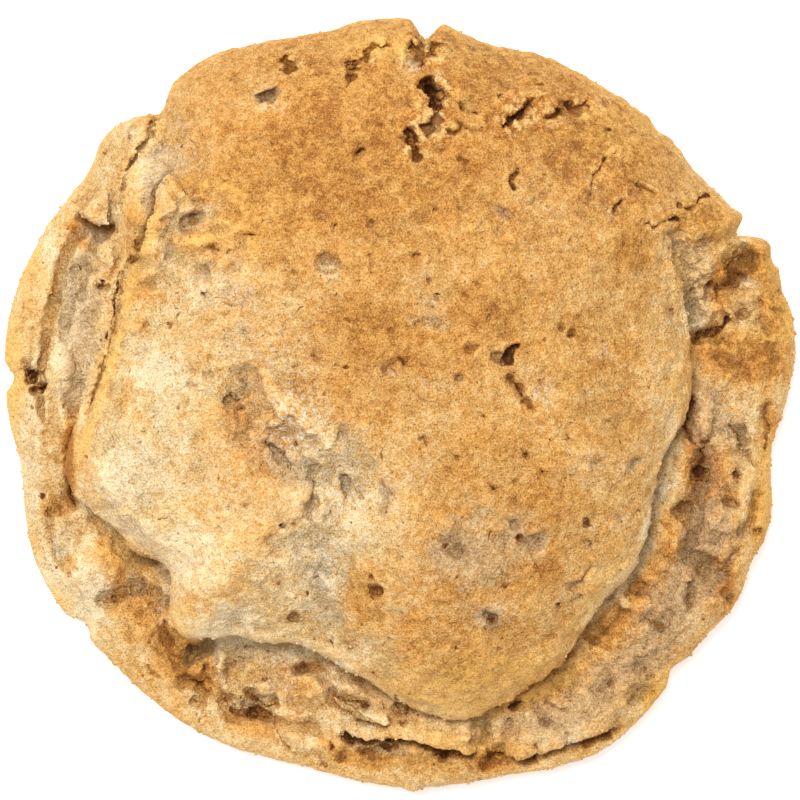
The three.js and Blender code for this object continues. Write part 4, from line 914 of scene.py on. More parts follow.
# The skirt's dough was pulled round the crown as it spread, so its strands run along the rim.
far = np.maximum(np.hypot(px, py), 1)
strands = np.zeros_like(px)
for k, (width, turns, much) in enumerate(STRANDS):
    strands += much * dough_noise(far / width, turns * px / far, turns * py / far, 1.0, STRANDS_SEED + k)
out_by = skin * raised + (1 - skin) * (crags + strands) * free
rim_crumbs = all_over(crumbs * (1 - eased(darkness * 2)), 0)
out_by += rim_crumbs * (0.15 + layered_noise(px, py, pz, [RIM_GRIT], RIM_GRIT_SEED))
foot_flat = all_over(np.ones_like(x), 1)
foot_flat[len(x):] = eased(points[len(x):, 2] / FLAT_BELOW)
points += normals * (out_by * foot_flat)[:, None]
cad_low, cad_high = (np.array(corner) / MM for corner in cad_box)
over = points[:, 2] - (CROWN_TOP - TOP_ROOM)
points[:, 2] -= np.where(over > 0, over - TOP_ROOM * np.tanh(over / TOP_ROOM), 0)
points = np.clip(points, cad_low, cad_high)


def evened(places, rounds):
    """Places averaged with their neighbours' so many times."""
    neighbours = np.maximum(np.bincount(faces.ravel(), minlength=len(places)), 1)
    for _ in range(rounds):
        total = np.zeros_like(places)
        for a, b in ((0, 1), (1, 2), (2, 0)):
            for axis in range(3):
                total[:, axis] += np.bincount(faces[:, a], places[faces[:, b], axis], len(places))
        places = total / neighbours[:, None]
    return places


# How deep each point lies in a dip (+) or how far up on a ridge (-), by two sizes of dip.
dip_at_hand = evened(points, FINE_DIP_ROUNDS)
dip_around = evened(dip_at_hand, BROAD_DIP_ROUNDS)
dip = 0.5 * np.tanh(np.sum((dip_at_hand - points) * normals, axis=1) / FINE_DIP)
dip += 0.9 * np.tanh(np.sum((dip_around - points) * normals, axis=1) / BROAD_DIP)
dip[len(x):] = 0

# Where the oven browned it (+) or left it pale (-), and where moist dough greys it:
# middle, half length, half width, turn of the length, and how much.
BROWNED = [
    # the crown's upper half and right side, browned most
    (3.9, 41, 44, 22, 0, 0.42), (-13.6, 29.2, 15, 12, 20, 0.12), (-4.8, 7.8, 9, 17, 0, 0.34),
    (14.5, 14.5, 6, 4, 0, 0.22), (13.6, 16.5, 16, 12, 0, 0.12), (33.2, 5.9, 12, 24, 0, 0.22),
    (32.2, 21.5, 4, 3, 0, 0.3), (44.1, 25.8, 5, 5, 0, 0.5), (-8.9, 10.4, 6, 5, 0, 0.1),
    (29.5, 31.7, 9, 8, 0, 0.2),
    # the crown's middle and lower side, and spots all round it
    (14.6, 4.9, 14, 12, 0, 0.16), (13.6, -11.6, 14, 12, 0, 0.26), (22.5, -25.9, 12, 8, 25, 0.16),
    (19.6, -16, 14, 8, 0, 0.1), (7.8, -24.3, 9, 14, 0, 0.14), (-20.7, 10.4, 12, 18, 0, 0.16),
    (-20.7, -4.9, 9, 10, 0, 0.1), (5.7, 7.6, 8, 9, 0, 0.1), (47, 18.4, 5.5, 3, 35, 0.5),
    (53.7, 22.1, 3, 5, 0, 0.4), (43.4, -23.6, 4.5, 3, -40, 0.6), (2.5, 49.2, 2.4, 3, 0, 0.5),
    (46.9, -26.4, 3, 5, 0, 0.25), (36.6, -24.9, 2.4, 6, -20, 0.3), (-29.1, -37, 3, 5, 30, 0.45),
    (-46.6, -4.5, 1.3, 5.5, -8, 0.5), (-48.4, 2, 2, 6, 0, -0.15), (-36.5, -21.5, 6, 2, -38, 0.3),
    (6, -49, 14, 4, 0, 0.16),
    (-18, 43, 3, 3, 0, 0.12), (3, 50, 3, 3, 0, 0.15), (-11, 18, 3, 3, 0, 0.15), (-28, -38, 3, 3, 0, 0.15),
    # Among the patches below, the pale strips along the crown's right edge are painted light on its steep
    # side, and the browner patches on the skirt just beyond it are painted shade.
    (17, 41, 4, 3, 0, 0.12), (54, 20, 3, 4, 0, 0.15), (45, -17, 4, 12, 0, 0.24), (35, -35, 9, 6, 45, 0.22),
    (38.6, -5, 1.6, 8, 5, -0.3), (36, -16, 1.6, 7, -20, -0.35), (30.5, -26, 1.6, 8, -42, -0.35),
    (40.2, 11, 1.2, 6, 0, -0.2), (7.1, -22.9, 8, 6, 0, 0.1), (37.1, 2.8, 3, 20, 0, -0.2),
    (31.1, -25.4, 9, 3, 45, -0.15), (43, -10.7, 4, 13, 0, 0.2), (32.9, -40.6, 9, 4, 40, 0.2),
    (28.6, -40.9, 16, 6, 25, 0.15), (43.5, -27.7, 6, 12, -20, 0.1), (-24.1, -10.4, 13, 9, 0, 0.09),
    (11.3, -32.8, 12, 7, 0, 0.14), (44.6, -13.5, 4, 13, 0, 0.16),
    # the crown's lower edge
    (-4.9, -25.4, 4, 5, 0, 0.35), (0, -32.8, 9, 6, -35, 0.14), (12.8, -39.4, 12, 5, 0, 0.12),
    (26.9, -31.9, 11, 5, 42, 0.1), (18.5, -23.7, 4, 3, 0, 0.25),
    # the crown's left side and its folds
    (-41.9, 2.4, 1.8, 9, -18, 0.08), (-44, -8, 1.6, 6, 0, 0.08), (-37.3, 17, 2, 3.4, -30, 0.2),
    (-34.8, 15.2, 2.6, 1.4, 0, 0.3), (-29.2, 30.5, 5, 2.4, -10, 0.12), (-27.6, 22.9, 4, 2.2, 0, 0.12),
    (-37.7, 26.6, 2.6, 2.2, 0, 0.25), (-37.6, 22.2, 1.6, 3, 0, 0.2), (-36, 11.6, 1.8, 2.2, 0, 0.25),
    (-38.3, 0.7, 1.6, 3.2, -15, 0.25), (-36.1, -1.4, 1.4, 1.6, 0, 0.2), (-13, 2.4, 2.6, 1.6, -20, 0.3),
    (-23.5, -3.5, 5, 7, 20, 0.1),
    # deep golden creases, hollows and rims
    (-46.6, -8.9, 1.2, 5.5, 0, 0.9), (-45.7, 24.6, 1.2, 2.5, 30, 0.6), (-48.6, 16.7, 1.2, 6, -10, 0.3),
    (-49.1, -14.3, 2.4, 1.8, 0, 0.3), (-41, -23.1, 2.2, 4.5, 20, 0.35),
    (-36.9, -29.2, 4, 6.5, 40, 0.35), (-31.3, -35.7, 4, 4, 40, 0.45), (-46.8, -22.7, 1.4, 2.2, 0, 0.3),
    (54, 15, 3, 8, 0, 0.5), (49.2, 6.7, 8, 4, -10, 0.6), (52.7, -3.6, 1.6, 6, 0, 0.35),
    (51.5, -16.4, 2, 7, 0, 0.35), (43.4, -23.6, 4.5, 3, -40, 0.6), (49.1, 20.5, 3.6, 3.2, 40, 0.4),
    (43, -8.6, 2, 3.5, 0, 0.35), (34.4, -41.9, 3, 1.6, 20, 0.3), (0.1, -52, 24, 3, 0, 0.1),
    (-14.1, -40.6, 3, 2, 0, 0.3), (-14.1, -37, 3, 1.4, 0, 0.4), (-21.2, -45.6, 4, 2, -20, 0.25),
    (13, -50.9, 3, 2, 0, 0.5), (27.3, -48.2, 4, 1.4, 20, 0.4), (-35.6, -41.4, 9, 3, -40, 0.15),
    (-27.8, -27.2, 6, 2, 10, 0.12), (-5.6, -49.9, 6, 2, -10, 0.3),
    # pale dough
    (-35.1, -7.8, 15, 20, 0, -0.17), (-33.2, 4.9, 4, 3.5, 0, -0.25), (-29.3, -21.5, 6, 5, 0, -0.22),
    (-29.2, 7.8, 9, 16, 0, -0.07), (-9.7, -13.2, 8, 14, 10, -0.17), (-22, 9, 8, 14, 0, -0.07),
    (-30, 27, 3, 3, 0, -0.12),
    (-25, -33, 5, 2, 0, -0.2), (-22, -43, 3, 2, 0, -0.15), (-41, -26, 3, 3, 0, -0.15),
    (12, -46, 4, 2, 0, -0.12),
    (28, -48, 4, 2, 0, -0.12), (-8, -7, 4, 3, 0, -0.1), (31, 23, 4, 3, 0, -0.1),
    (42, 12, 2.4, 3, 0, -0.12), (-38.3, -10.5, 5, 4, 0, -0.15),
    (-41.1, 36.2, 6, 12, 32, -0.12), (-35, 34.4, 3, 6, 20, -0.3), (-46, 10.6, 3.5, 13, 6, -0.22),
    (-48.3, -26.4, 6, 6, 0, -0.3), (-53.2, -2.1, 3, 18, 0, -0.15), (-51.1, 22.1, 3, 14, 20, -0.15),
    (-44.7, -27.8, 5, 5, 0, -0.3), (-43.3, -42, 9, 3, -45, -0.2), (-14.1, -34.9, 14, 3, 0, -0.2),
    (-7, -44.2, 9, 2.4, -10, -0.1), (7.2, -46.8, 9, 2.4, 0, -0.12), (-29.1, 14.6, 3, 3, 0, -0.2),
    (-23.5, 1.4, 3, 3, 0, -0.1), (45.6, -3.6, 2, 3, -30, -0.3), (42.7, 14.9, 2.4, 6, -10, -0.3),
    (-9.6, 18, 3, 3, 0, -0.25), (-18.4, 42.8, 4, 3, 0, -0.2), (2.2, 48.5, 2.4, 3, 0, -0.3),
    (26.6, -9.1, 5, 4, 0, -0.1), (-12.4, -25.9, 6, 8, 0, -0.12), (-24.1, -32, 8, 4, 0, -0.2),
    (-10.9, 11.5, 4, 4, 0, -0.12), (11.2, -17.3, 6, 5, 0, -0.15), (18.9, 29.9, 9, 3, -35, -0.1),
    (28.6, -42, 10, 5, 25, -0.1),
    # the right side under the crown's edge, browner there as painted shade, and the cavity's rims
    (54.5, 18, 2, 6, 0, 0.35), (38, -18, 1.8, 4, 0, 0.3), (36, -26, 2.4, 4, -30, 0.3),
    (31, -32, 3, 2, 45, 0.25), (43.6, -21, 2, 3, 0, 0.25), (38, -42, 5, 3, 45, 0.3),
    (47, 23, 2.4, 3, 0, -0.3), (45, 14, 3, 2, 0, 0.2), (45, 30, 3, 3, 0, -0.2), (41.5, 13, 1.4, 4, 0, -0.2),
    # single spots, most of them on the crown and the left side
    (-27, -33, 5, 2.4, 0, -0.25), (-28, -38, 2.4, 2, 0, 0.15), (-18, -37, 4, 1.6, 0, 0.15),
    (-22, 12, 4, 5, 0, 0.1), (-24, 0, 3, 3, 0, 0.12), (-17, -8, 3, 3, 0, 0.12), (7, 10, 6, 4, 0, 0.1),
    (6, -30, 8, 7, 0, 0.08), (12, -37, 8, 3, 0, 0.08), (25, -40, 6, 3, 30, 0.15), (-53, 12, 2, 6, 0, 0.15),
    (-48, -20, 2, 2, 0, -0.3), (-52, -12, 2, 6, 0, -0.15), (-8, 35, 3, 6, 0, -0.12),
    (-28, 28, 3, 3, 0, -0.1),
    (-12, -24, 6, 4, 0, -0.12), (-22, -28, 8, 3, 0, -0.12), (-40, 27, 2, 2, 0, -0.2),
]
MOIST = [
    # the skirt, and broad patches of the crown
    (45, -10.7, 7, 22, 0, 0.35), (35.8, -36.4, 9, 16, -40, 0.3), (7.8, -25.7, 8, 12, 0, 0.3),
    (-24.2, 10.4, 12, 12, 0, 0.12), (-18.6, 4.9, 5, 5, 0, 0.15), (-5.4, -5.5, 4, 5, 0, 0.4),
    (-29.3, 36.4, 4, 6, 20, 0.4), (12.6, -15.3, 9, 5, 0, 0.2), (-9.6, 15.2, 3, 3, 0, 0.3),
    (39.3, -27.8, 5, 12, -30, 0.6), (28.6, -41.3, 14, 5, 25, 0.5), (18.6, -45.5, 12, 4, 5, 0.5),
    (44.5, -17, 4, 4, 0, 0.5), (43.4, -1.4, 3, 6, 0, 0.6), (49.2, -2.1, 4, 5, 0, 0.3),
    (42.6, 17.7, 2.4, 9, -8, 0.6), (-46.5, 14.9, 3, 9, 5, 0.5), (-46, 3.6, 3.4, 8, 5, 0.5),
    (-43.3, 24.7, 3.2, 2, -20, 0.8), (-38.3, -19.8, 6, 2.4, -38, 0.8), (-19.1, -35.6, 8, 2.4, 0, 0.8),
    (-19.5, -40.5, 4, 3, 0, 0.4), (-2.7, -48.5, 8, 1.6, -8, 0.7), (7.3, -49.9, 4, 1.4, 0, 0.5),
    (-29.1, -36.3, 3, 3, 40, 0.5), (-6.3, -42, 6, 2, -20, 0.3), (-37.5, -25.7, 2.4, 2, 0, 0.6),
    # the crown's hollows
    (11.2, -19.4, 10, 7, 0, 0.3), (7.1, -20.2, 4, 3, 0, 0.3), (4.3, 12.5, 4, 3, 0, 0.5),
    (2.9, 18, 4, 3, 0, 0.3), (-10, 19.8, 2.4, 2.6, 0, 0.3), (-10.7, 26.1, 1.8, 1.8, 0, 0.25),
    (-31.9, 23, 1.8, 4, -12, 0.4), (-28.5, 25.9, 3.6, 2, 20, 0.3), (-35.2, 33, 2.6, 7, 20, 0.5),
    (-34.5, 27.7, 2, 2.6, 0, 0.6), (-25.6, 16.7, 4, 4, 0, 0.4), (-21.4, 14.6, 3, 4, 0, 0.4),
    (-22.8, 8.3, 3, 4, 0, 0.4), (-22.8, -4.9, 5, 5, 30, 0.2), (-16.6, -7.7, 4, 2.6, -40, 0.6),
    (-8.2, -4.8, 4, 3, 0, 0.2), (-1.7, -12.5, 2.4, 3.4, 0, 0.6), (-12.4, -13.2, 2, 6, 0, 0.4),
    (-7.5, -11.8, 2, 4, 0, 0.3), (-9.7, -29.5, 4, 4, 0, 0.4), (-15, -29.8, 2, 1.4, 0, 0.5),
    (14.7, 26.5, 2.6, 1.6, -20, 0.45), (26.6, -8.4, 6, 4, 0, 0.35), (33.2, -8.1, 2, 1.5, 40, 0.6),
    (30.9, -15.4, 3, 2.4, 0, 0.5), (12.4, -29.4, 2.4, 1.8, 0, 0.8), (19.2, -19, 2.6, 1.8, 15, 0.4),
    (16.3, -17, 2, 1.6, 0, 0.35), (14, -21.6, 8, 4, 0, 0.25), (2.2, 48.5, 2, 2.6, 0, 0.6),
    (-18.4, 43.6, 2.4, 1.6, 15, 0.8), (3.9, 39.1, 2.6, 1.6, 0, 0.5), (16.9, 39.9, 2.4, 1.2, 30, 0.4),
    (2.9, 2.1, 3, 4, 0, 0.4), (8.4, 2.8, 2.4, 2, 0, 0.4), (14, 6.9, 3, 2, 0, 0.3),
    (25.1, 1.4, 3, 2, 0, 0.35), (18.2, -2.8, 4, 1.6, 0, 0.35), (24.7, -25.2, 3, 1.4, 40, 0.35),
    (0.1, -25.7, 4, 5, 0, 0.25), (28, 27.2, 3, 1.4, -30, 0.4), (-4.3, 31.2, 3, 1.2, -35, 0.35),
]
# Whitish, sugary or flaky patches.
SUGARED = [
    (-24, -12, 6, 9, 0, 0.3), (-1, -14, 3, 9, 0, 0.2), (22, 28, 9, 8, 0, 0.12),
    (-18, 6, 9, 12, 0, 0.3), (-10, -14, 8, 10, 0, 0.25), (-25, 18, 6, 5, 0, 0.25),
    (-13.7, -3.5, 6, 6, -30, 0.8), (-7.5, -12.5, 4, 5, 0, 0.5), (-11, -21.6, 3, 8, 0, 0.5),
    (-15.2, -18.8, 2.4, 2.4, 0, 0.5), (-18.7, -23.7, 1.6, 4, -20, 0.5), (-9.6, -24.4, 2, 3, 0, 0.6),
    (-34.7, -7.7, 6, 5, 0, 0.35), (-39, -8.4, 4, 4, 0, 0.4), (-38.5, -16.9, 3, 1.6, -30, 0.6),
    (-16.2, -35.6, 6, 2, 0, 0.8), (-16.2, -39.9, 3, 3, 0, 0.5), (-9.8, -39.7, 2, 2.4, 0, 0.7),
    (-7.6, -37.5, 2.4, 1.2, -20, 0.6), (-25.7, -37.4, 1.4, 3.4, 10, 0.5),
    (-27.8, 26.9, 3, 1.4, 15, 0.6), (-26.5, 16.8, 2.4, 2, 0, 0.4), (-41.9, 25.9, 1, 1, 0, 0.7),
    (-43.5, 24.1, 1, 1, 0, 0.5), (-43.8, -24.1, 3, 4, 0, 0.4), (-33.4, -27.8, 1.6, 4, 0, 0.5),
    (-10, 19, 1.8, 1.6, 0, 0.7), (-18, 41.9, 2.4, 1, 0, 0.8), (20.7, 2.8, 1.4, 1.6, 0, 0.6),
    (19.6, 1.4, 1.6, 1.4, 0, 0.6), (19.7, -19.5, 1, 1.6, 0, 0.5), (14.9, -28.6, 2, 1.6, 0, 0.5),
    (24.3, -47.9, 1.6, 1.6, 0, 0.8), (33.2, -43.6, 2, 1.4, 0, 0.8), (49.1, 17.3, 1.8, 1.2, 0, 0.8),
    (48.8, 23.7, 1.4, 1.2, 0, 0.8), (28.7, 7, 1.4, 1, 0, 0.6), (42.8, 11.4, 1.4, 1.6, 0, 0.5),
    (-1.9, 4.8, 1.6, 1, 0, 0.4), (2.2, -10.4, 2.4, 2.4, 0, 0.35), (29.1, 43.1, 1.4, 1, 0, 0.4),
    (-48.1, 8.5, 1.6, 2.6, 0, 0.35), (-27.6, 2.8, 1.8, 1.4, -20, 0.6), (1.8, 47.2, 1.6, 1.4, 0, 0.5),
    (5.5, 44.8, 1.2, 2.4, 0, 0.5), (5.2, 40.6, 1.6, 0.8, 0, 0.5),
]

# Golden patches, where butter browned the dough evenly.
GILDED = [
    (12.8, -38.9, 15, 6, 0, 0.6), (49.5, 20.5, 7, 7, 0, 0.25), (44.1, 25.8, 6, 5, 0, 0.4),
    (-55, 4.3, 2.5, 8, 0, 0.95), (38.3, -1, 2.2, 10, 0, 0.5), (30, -25, 3, 9, -42, 0.6),
    (43.4, -23.6, 4, 3, -40, 0.3), (38, -42, 6, 3, 45, 0.5), (-52.6, 20.4, 3, 10, 20, 0.5),
    (-39, -20.9, 6, 3, -30, 0.6),
    (-2, 50.6, 7, 2.5, 0, 0.6), (31.1, 38, 8, 8, -40, 0.4), (-20.7, 25.7, 9, 9, 0, 0.35),
    (-48.1, -27.8, 3, 8, -40, 0.5), (-29.1, -35.4, 4, 6, 20, 0.5), (-19.5, -36.6, 5, 3, 0, 0.5),
    (45, -22.3, 4, 5, -40, 0.15), (52, -12.1, 2.5, 10, 0, 0.6), (35.1, -41, 9, 3.5, 35, 0.5),
    (7.2, -48.2, 14, 4, 0, 0.5), (54.3, 15, 3, 9, 0, 0.4), (47.8, 10, 7, 4, 0, 0.4),
    (4.4, 48.4, 22, 8, 0, 0.25),
]
# Narrow streaks: half width, how golden, how moist, and the line.
STREAKS = [
    # golden crests: the shelf and the crown's left edge
    (1.3, 0.8, 0, [(-31.7, 31.5), (-32.9, 29.9), (-33.6, 28.3), (-34.1, 25.7), (-35.2, 23.2),
            (-36.3, 20.9), (-37.2, 18.2), (-37.9, 15.9), (-39, 12.2), (-39.9, 8.4), (-41.3, 3.8),
            (-42.6, 0), (-43.8, -3.8), (-44.9, -8), (-45.5, -12)]),
    (1, 0.5, 0, [(-31.2, 31.5), (-29.2, 31.1), (-26.9, 31.1), (-24.6, 30.5), (-22.4, 29.1)]),
    (0.8, 0.5, 0, [(-30.8, 21.6), (-28.8, 22.9), (-26.2, 23.2), (-24, 22.9)]),
    # golden valleys of the left strip
    (0.6, 0.15, 0, [(-45.5, 27.2), (-46.1, 24.8), (-47, 22.1), (-48, 18.9), (-48.8, 15.7),
            (-49.7, 13.2)]),
    (0.7, 0.4, 0, [(-36.5, 25.6), (-36.5, 23.1), (-37.7, 20.4), (-39.2, 18.3), (-39.6, 14.8)]),
    (0.6, 0.15, 0, [(-50.2, 12.4), (-50.3, 8.5), (-50.2, 4.7), (-50.6, 0.7), (-50.2, -2.8)]),
    # greyish moist dough in the strips
    (2, 0, 0.8, [(-35.2, 36.6), (-32.1, 34.4), (-33.3, 31.9), (-34.3, 29.8), (-34.8, 27.6)]),
    (1.4, 0, 0.7, [(-35.4, 25.3), (-35.9, 23.4), (-36.8, 21.5)]),
    (3.2, 0, 0.6, [(-43.2, 23.8), (-43.5, 20.3), (-44.2, 16.3), (-44.6, 12.1), (-45, 7.8), (-45.4, 2.8),
            (-45.8, -1)]),
    (2, 0, 0.8, [(38.9, 24.9), (40.1, 21.9), (41.2, 18.4), (42.2, 14.9), (43.1, 11.8)]),
    (1.6, 0, 0.6, [(-40.3, -13.3), (-38.6, -16.1), (-36.4, -18.1), (-34.1, -20.1), (-33.2, -23.5),
            (-31.9, -26.9), (-31, -29.4)]),
    (1.6, 0, 0.6, [(43.4, -15.2), (42.4, -20), (41.4, -24.9), (39.4, -29.9), (36.5, -34.2),
            (32.9, -37.5)]),
    # golden rims of the crown
    (1.2, 0.35, 0, [(-29.3, -28.7), (-26, -31), (-21, -32.6), (-13.9, -33.1), (-6.9, -35.9),
            (0.1, -39.8), (7.2, -42.7), (13, -44), (18.7, -42), (24.4, -38.1), (29.4, -33.2),
            (34.4, -26.7), (37.5, -20.9), (38.9, -16.4)]),
    (0.9, 0.4, 0, [(37.8, 24.3), (39.2, 20.2), (40.2, 16), (41.3, 11.4), (41.4, 6.4), (41.1, 1.4)]),
    (1.2, 0.3, 0, [(52.9, 22.1), (55, 18.6), (55.9, 13.6), (55.1, 8.5)]),
]


browning = patches_at(BROWNED, points, PLAIN_BROWNING)
moistness = patches_at(MOIST, points, PLAIN_MOISTNESS)
gilt = patches_at(GILDED, points, 0)
for half, golden, moist, path in STREAKS:
    at, signed, fade, _, _ = place_on_path(path, shaken_x, shaken_y, half * 1.3)
    share_of_it = fade * eased(1.3 - np.abs(signed) / half)
    gilt[at] += golden * share_of_it
    moistness[at] += moist * share_of_it
# Painted light and shade: the relief makes the crust lighter on crests and darker in dips, and the skirt is
# browned more in its dips and less on its ridges.
relief = np.clip(0.6 * out_by + 0.5 * all_over(swell, 0) - dip, -2.2, 1.5)
browning += (1 - skin) * 0.12 * np.clip(dip, -0.5, 1.5)
rim_rounding = all_over(eased((reach - edge) / RIM_BAND + 1), 1)
gilt += RIM_GILT * rim_rounding
browning[len(x):] = SIDE_BROWNING
moistness[len(x):] = SIDE_MOISTNESS
sugar = patches_at(SUGARED, points, 0)

# Crumbs lie thickest in the seams and on the torn dough of the skirt.
seams = eased(all_over(darkness, 0) / 0.5)
torn_dough = eased(dough_noise(px, py, pz, TORN_DOUGH_SIZE, TORN_DOUGH_SEED) + 0.45)
torn_dough *= (1 - skin) * all_over(1.0, 0)
crumbly = THIN_CRUMBS * (points[:, 2] > 4) + TORN_CRUMBS * torn_dough
crumbly += SEAM_CRUMBS * seams * (1 - skin)
crumbly += RIM_CRUMBS * rim_crumbs
crumbly *= points[:, 2] > 1.5

dough_mesh = bpy.data.meshes.new("baked_cookie")
dough_mesh.vertices.add(len(points))
dough_mesh.vertices.foreach_set("co", (points * MM).astype(np.float32).ravel())
dough_mesh.loops.add(3 * len(faces))
dough_mesh.loops.foreach_set("vertex_index", faces.astype(np.int32).ravel())
dough_mesh.polygons.add(len(faces))
dough_mesh.polygons.foreach_set("loop_start", np.arange(0, 3 * len(faces), 3, dtype=np.int32))
dough_mesh.update()
dough_mesh.validate()
looks = [
    ("browning", browning), ("moistness", moistness), ("darkness", all_over(darkness, 0)),
    ("relief", relief), ("sugar", sugar), ("gilt", gilt), ("crumbs", rim_crumbs), ("crumbly", crumbly),
]
for name, values in looks:
    attribute = dough_mesh.attributes.new(name, "FLOAT", "POINT")
    attribute.data.foreach_set("value", values.astype(np.float32))
# Cracks, dips and rims keep more of the triangles than the plain crust does.
dense = bpy.data.objects.new("dense_cookie", dough_mesh)
scene.collection.objects.link(dense)
thinner = dense.modifiers.new("thinner", "DECIMATE")
thinner.ratio = min(1.0, FINISHED_TRIANGLES / len(faces))
plain = dense.vertex_groups.new(name="plain")
detail = np.clip(all_over(darkness, 0) * 2 + rim_crumbs + 0.35 * np.abs(dip), 0, 1)
for level in range(5):
    chosen = np.nonzero(np.round(detail * 4) == level)[0]
    plain.add(chosen.tolist(), 1 - level / 4.5, "REPLACE")
thinner.vertex_group = "plain"
thinner.vertex_group_factor = 8
finished = bpy.data.meshes.new_from_object(dense.evaluated_get(bpy.context.evaluated_depsgraph_get()))
bpy.data.objects.remove(dense)
finished.name = "baked_cookie"
finished.polygons.foreach_set("use_smooth", np.ones(len(finished.polygons), dtype=bool))
cookie = bpy.data.objects.new("baked_cookie", finished)
scene.collection.objects.link(cookie)


class Finish:
    """One surface finish, put together from nodes on Object coordinates."""

    def __init__(self, name):
        self.material = bpy.data.materials.new(name)
        self.material.use_nodes = True
        self.tree = self.material.node_tree
        self.shader = self.tree.nodes["Principled BSDF"]
        self.place = self.tree.nodes.new("ShaderNodeTexCoord").outputs["Object"]

    def feed(self, socket, value):
        """Give an input a value or another node's output."""
        if isinstance(value, bpy.types.NodeSocket):
            self.tree.links.new(value, socket)
        else:
            socket.default_value = value

    def sum(self, operation, *values):
        """One step of arithmetic."""
        node = self.tree.nodes.new("ShaderNodeMath")
        node.operation = operation
        for socket, value in zip(node.inputs, values):
            self.feed(socket, value)
        return node.outputs[0]

    def noise(self, size, detail, roughness=0.55):
        """Cloudy noise round 0.5, with clouds of the given size in millimetres."""
        node = self.tree.nodes.new("ShaderNodeTexNoise")
        self.feed(node.inputs["Vector"], self.place)
        node.inputs["Scale"].default_value = 1 / (size * MM)
        node.inputs["Detail"].default_value = detail
        node.inputs["Roughness"].default_value = roughness
        return node.outputs["Fac"]

    def cells(self, size, torn):
        """Distance to the nearest seed, in cells, and a random colour; edges torn by so many millimetres."""
        shake = self.tree.nodes.new("ShaderNodeTexNoise")
        self.feed(shake.inputs["Vector"], self.place)
        shake.inputs["Scale"].default_value = 1 / (SHAKEN_CELLS * MM)
        shift = self.tree.nodes.new("ShaderNodeVectorMath")
        shift.operation = "MULTIPLY_ADD"
        self.feed(shift.inputs[0], shake.outputs["Color"])
        shift.inputs[1].default_value = (torn * MM,) * 3
        self.feed(shift.inputs[2], self.place)
        node = self.tree.nodes.new("ShaderNodeTexVoronoi")
        self.feed(node.inputs["Vector"], shift.outputs["Vector"])
        node.inputs["Scale"].default_value = 1 / (size * MM)
        return node.outputs["Distance"], node.outputs["Color"]

    def between(self, value, low, high):
        """0 at low, 1 at high, eased in between."""
        node = self.tree.nodes.new("ShaderNodeMapRange")
        node.interpolation_type = "SMOOTHSTEP"
        self.feed(node.inputs["Value"], value)
        self.feed(node.inputs["From Min"], low)
        self.feed(node.inputs["From Max"], high)
        return node.outputs["Result"]

    def read(self, name):
        node = self.tree.nodes.new("ShaderNodeAttribute")
        node.attribute_name = name
        return node.outputs["Fac"]

    def ramp(self, value, stops):
        node = self.tree.nodes.new("ShaderNodeValToRGB")
        while len(node.color_ramp.elements) < len(stops):
            node.color_ramp.elements.new(0.5)
        for element, (spot, colour) in zip(node.color_ramp.elements, stops):
            element.position = spot
            element.color = (*colour, 1)
        self.feed(node.inputs["Fac"], value)
        return node.outputs["Color"]

    def blend(self, share, first, second):
        node = self.tree.nodes.new("ShaderNodeMix")
        node.data_type = "RGBA"
        self.feed(node.inputs["Factor"], share)
        for name, colour in (("A", first), ("B", second)):
            plain = not isinstance(colour, bpy.types.NodeSocket)
            self.feed(node.inputs[name], (*colour, 1) if plain else colour)
        return node.outputs["Result"]

    def coat(self, colour, share, strength, over):
        """A colour with another laid over it, by a share that is at most the strength."""
        return self.blend(self.sum("MULTIPLY", share, strength), colour, over)

    def sway(self, value, pattern, strength):
        """A value moved up and down by a pattern round 0.5."""
        return self.sum("MULTIPLY_ADD", self.sum("SUBTRACT", pattern, 0.5), strength, value)

    def dots(self, gap, size, soft, hard):
        """Round dots in cells, 1 inside, for sizes in cells."""
        return self.between(self.sum("DIVIDE", gap, self.sum("ADD", size, 0.001)), soft, hard)

    def shade(self, colour, tone):
        """A colour made lighter or darker by a tone round 1."""
        node = self.tree.nodes.new("ShaderNodeVectorMath")
        node.operation = "SCALE"
        self.feed(node.inputs["Vector"], colour)
        self.feed(node.inputs["Scale"], tone)
        return node.outputs["Vector"]

    def bump(self, height, depth, under=None):
        node = self.tree.nodes.new("ShaderNodeBump")
        node.inputs["Distance"].default_value = depth * MM
        self.feed(node.inputs["Height"], height)
        if under is not None:
            self.feed(node.inputs["Normal"], under)
        return node.outputs["Normal"]


CRUST_COLOURS = [
    (0.00, (0.79, 0.61, 0.36)),
    (0.25, (0.72, 0.475, 0.205)),
    (0.50, (0.66, 0.355, 0.105)),
    (0.75, (0.56, 0.255, 0.053)),
    (1.00, (0.36, 0.135, 0.021)),
]
MOIST_GREY = (0.62, 0.455, 0.265)
MOIST_BROWN = (0.41, 0.24, 0.095)
# The brown inside cracks and pores, partly painted shade, and the near black of painted shade deep in the
# cracks.
CRACK_BROWN_AND_SHADE = (0.29, 0.10, 0.014)
CRACK_PAINTED_SHADE = (0.055, 0.011, 0.002)
SUGAR_WHITE = (0.82, 0.69, 0.50)
CRUMB_GOLD = (0.74, 0.49, 0.18)
BUTTER_GOLD = (0.76, 0.42, 0.095)

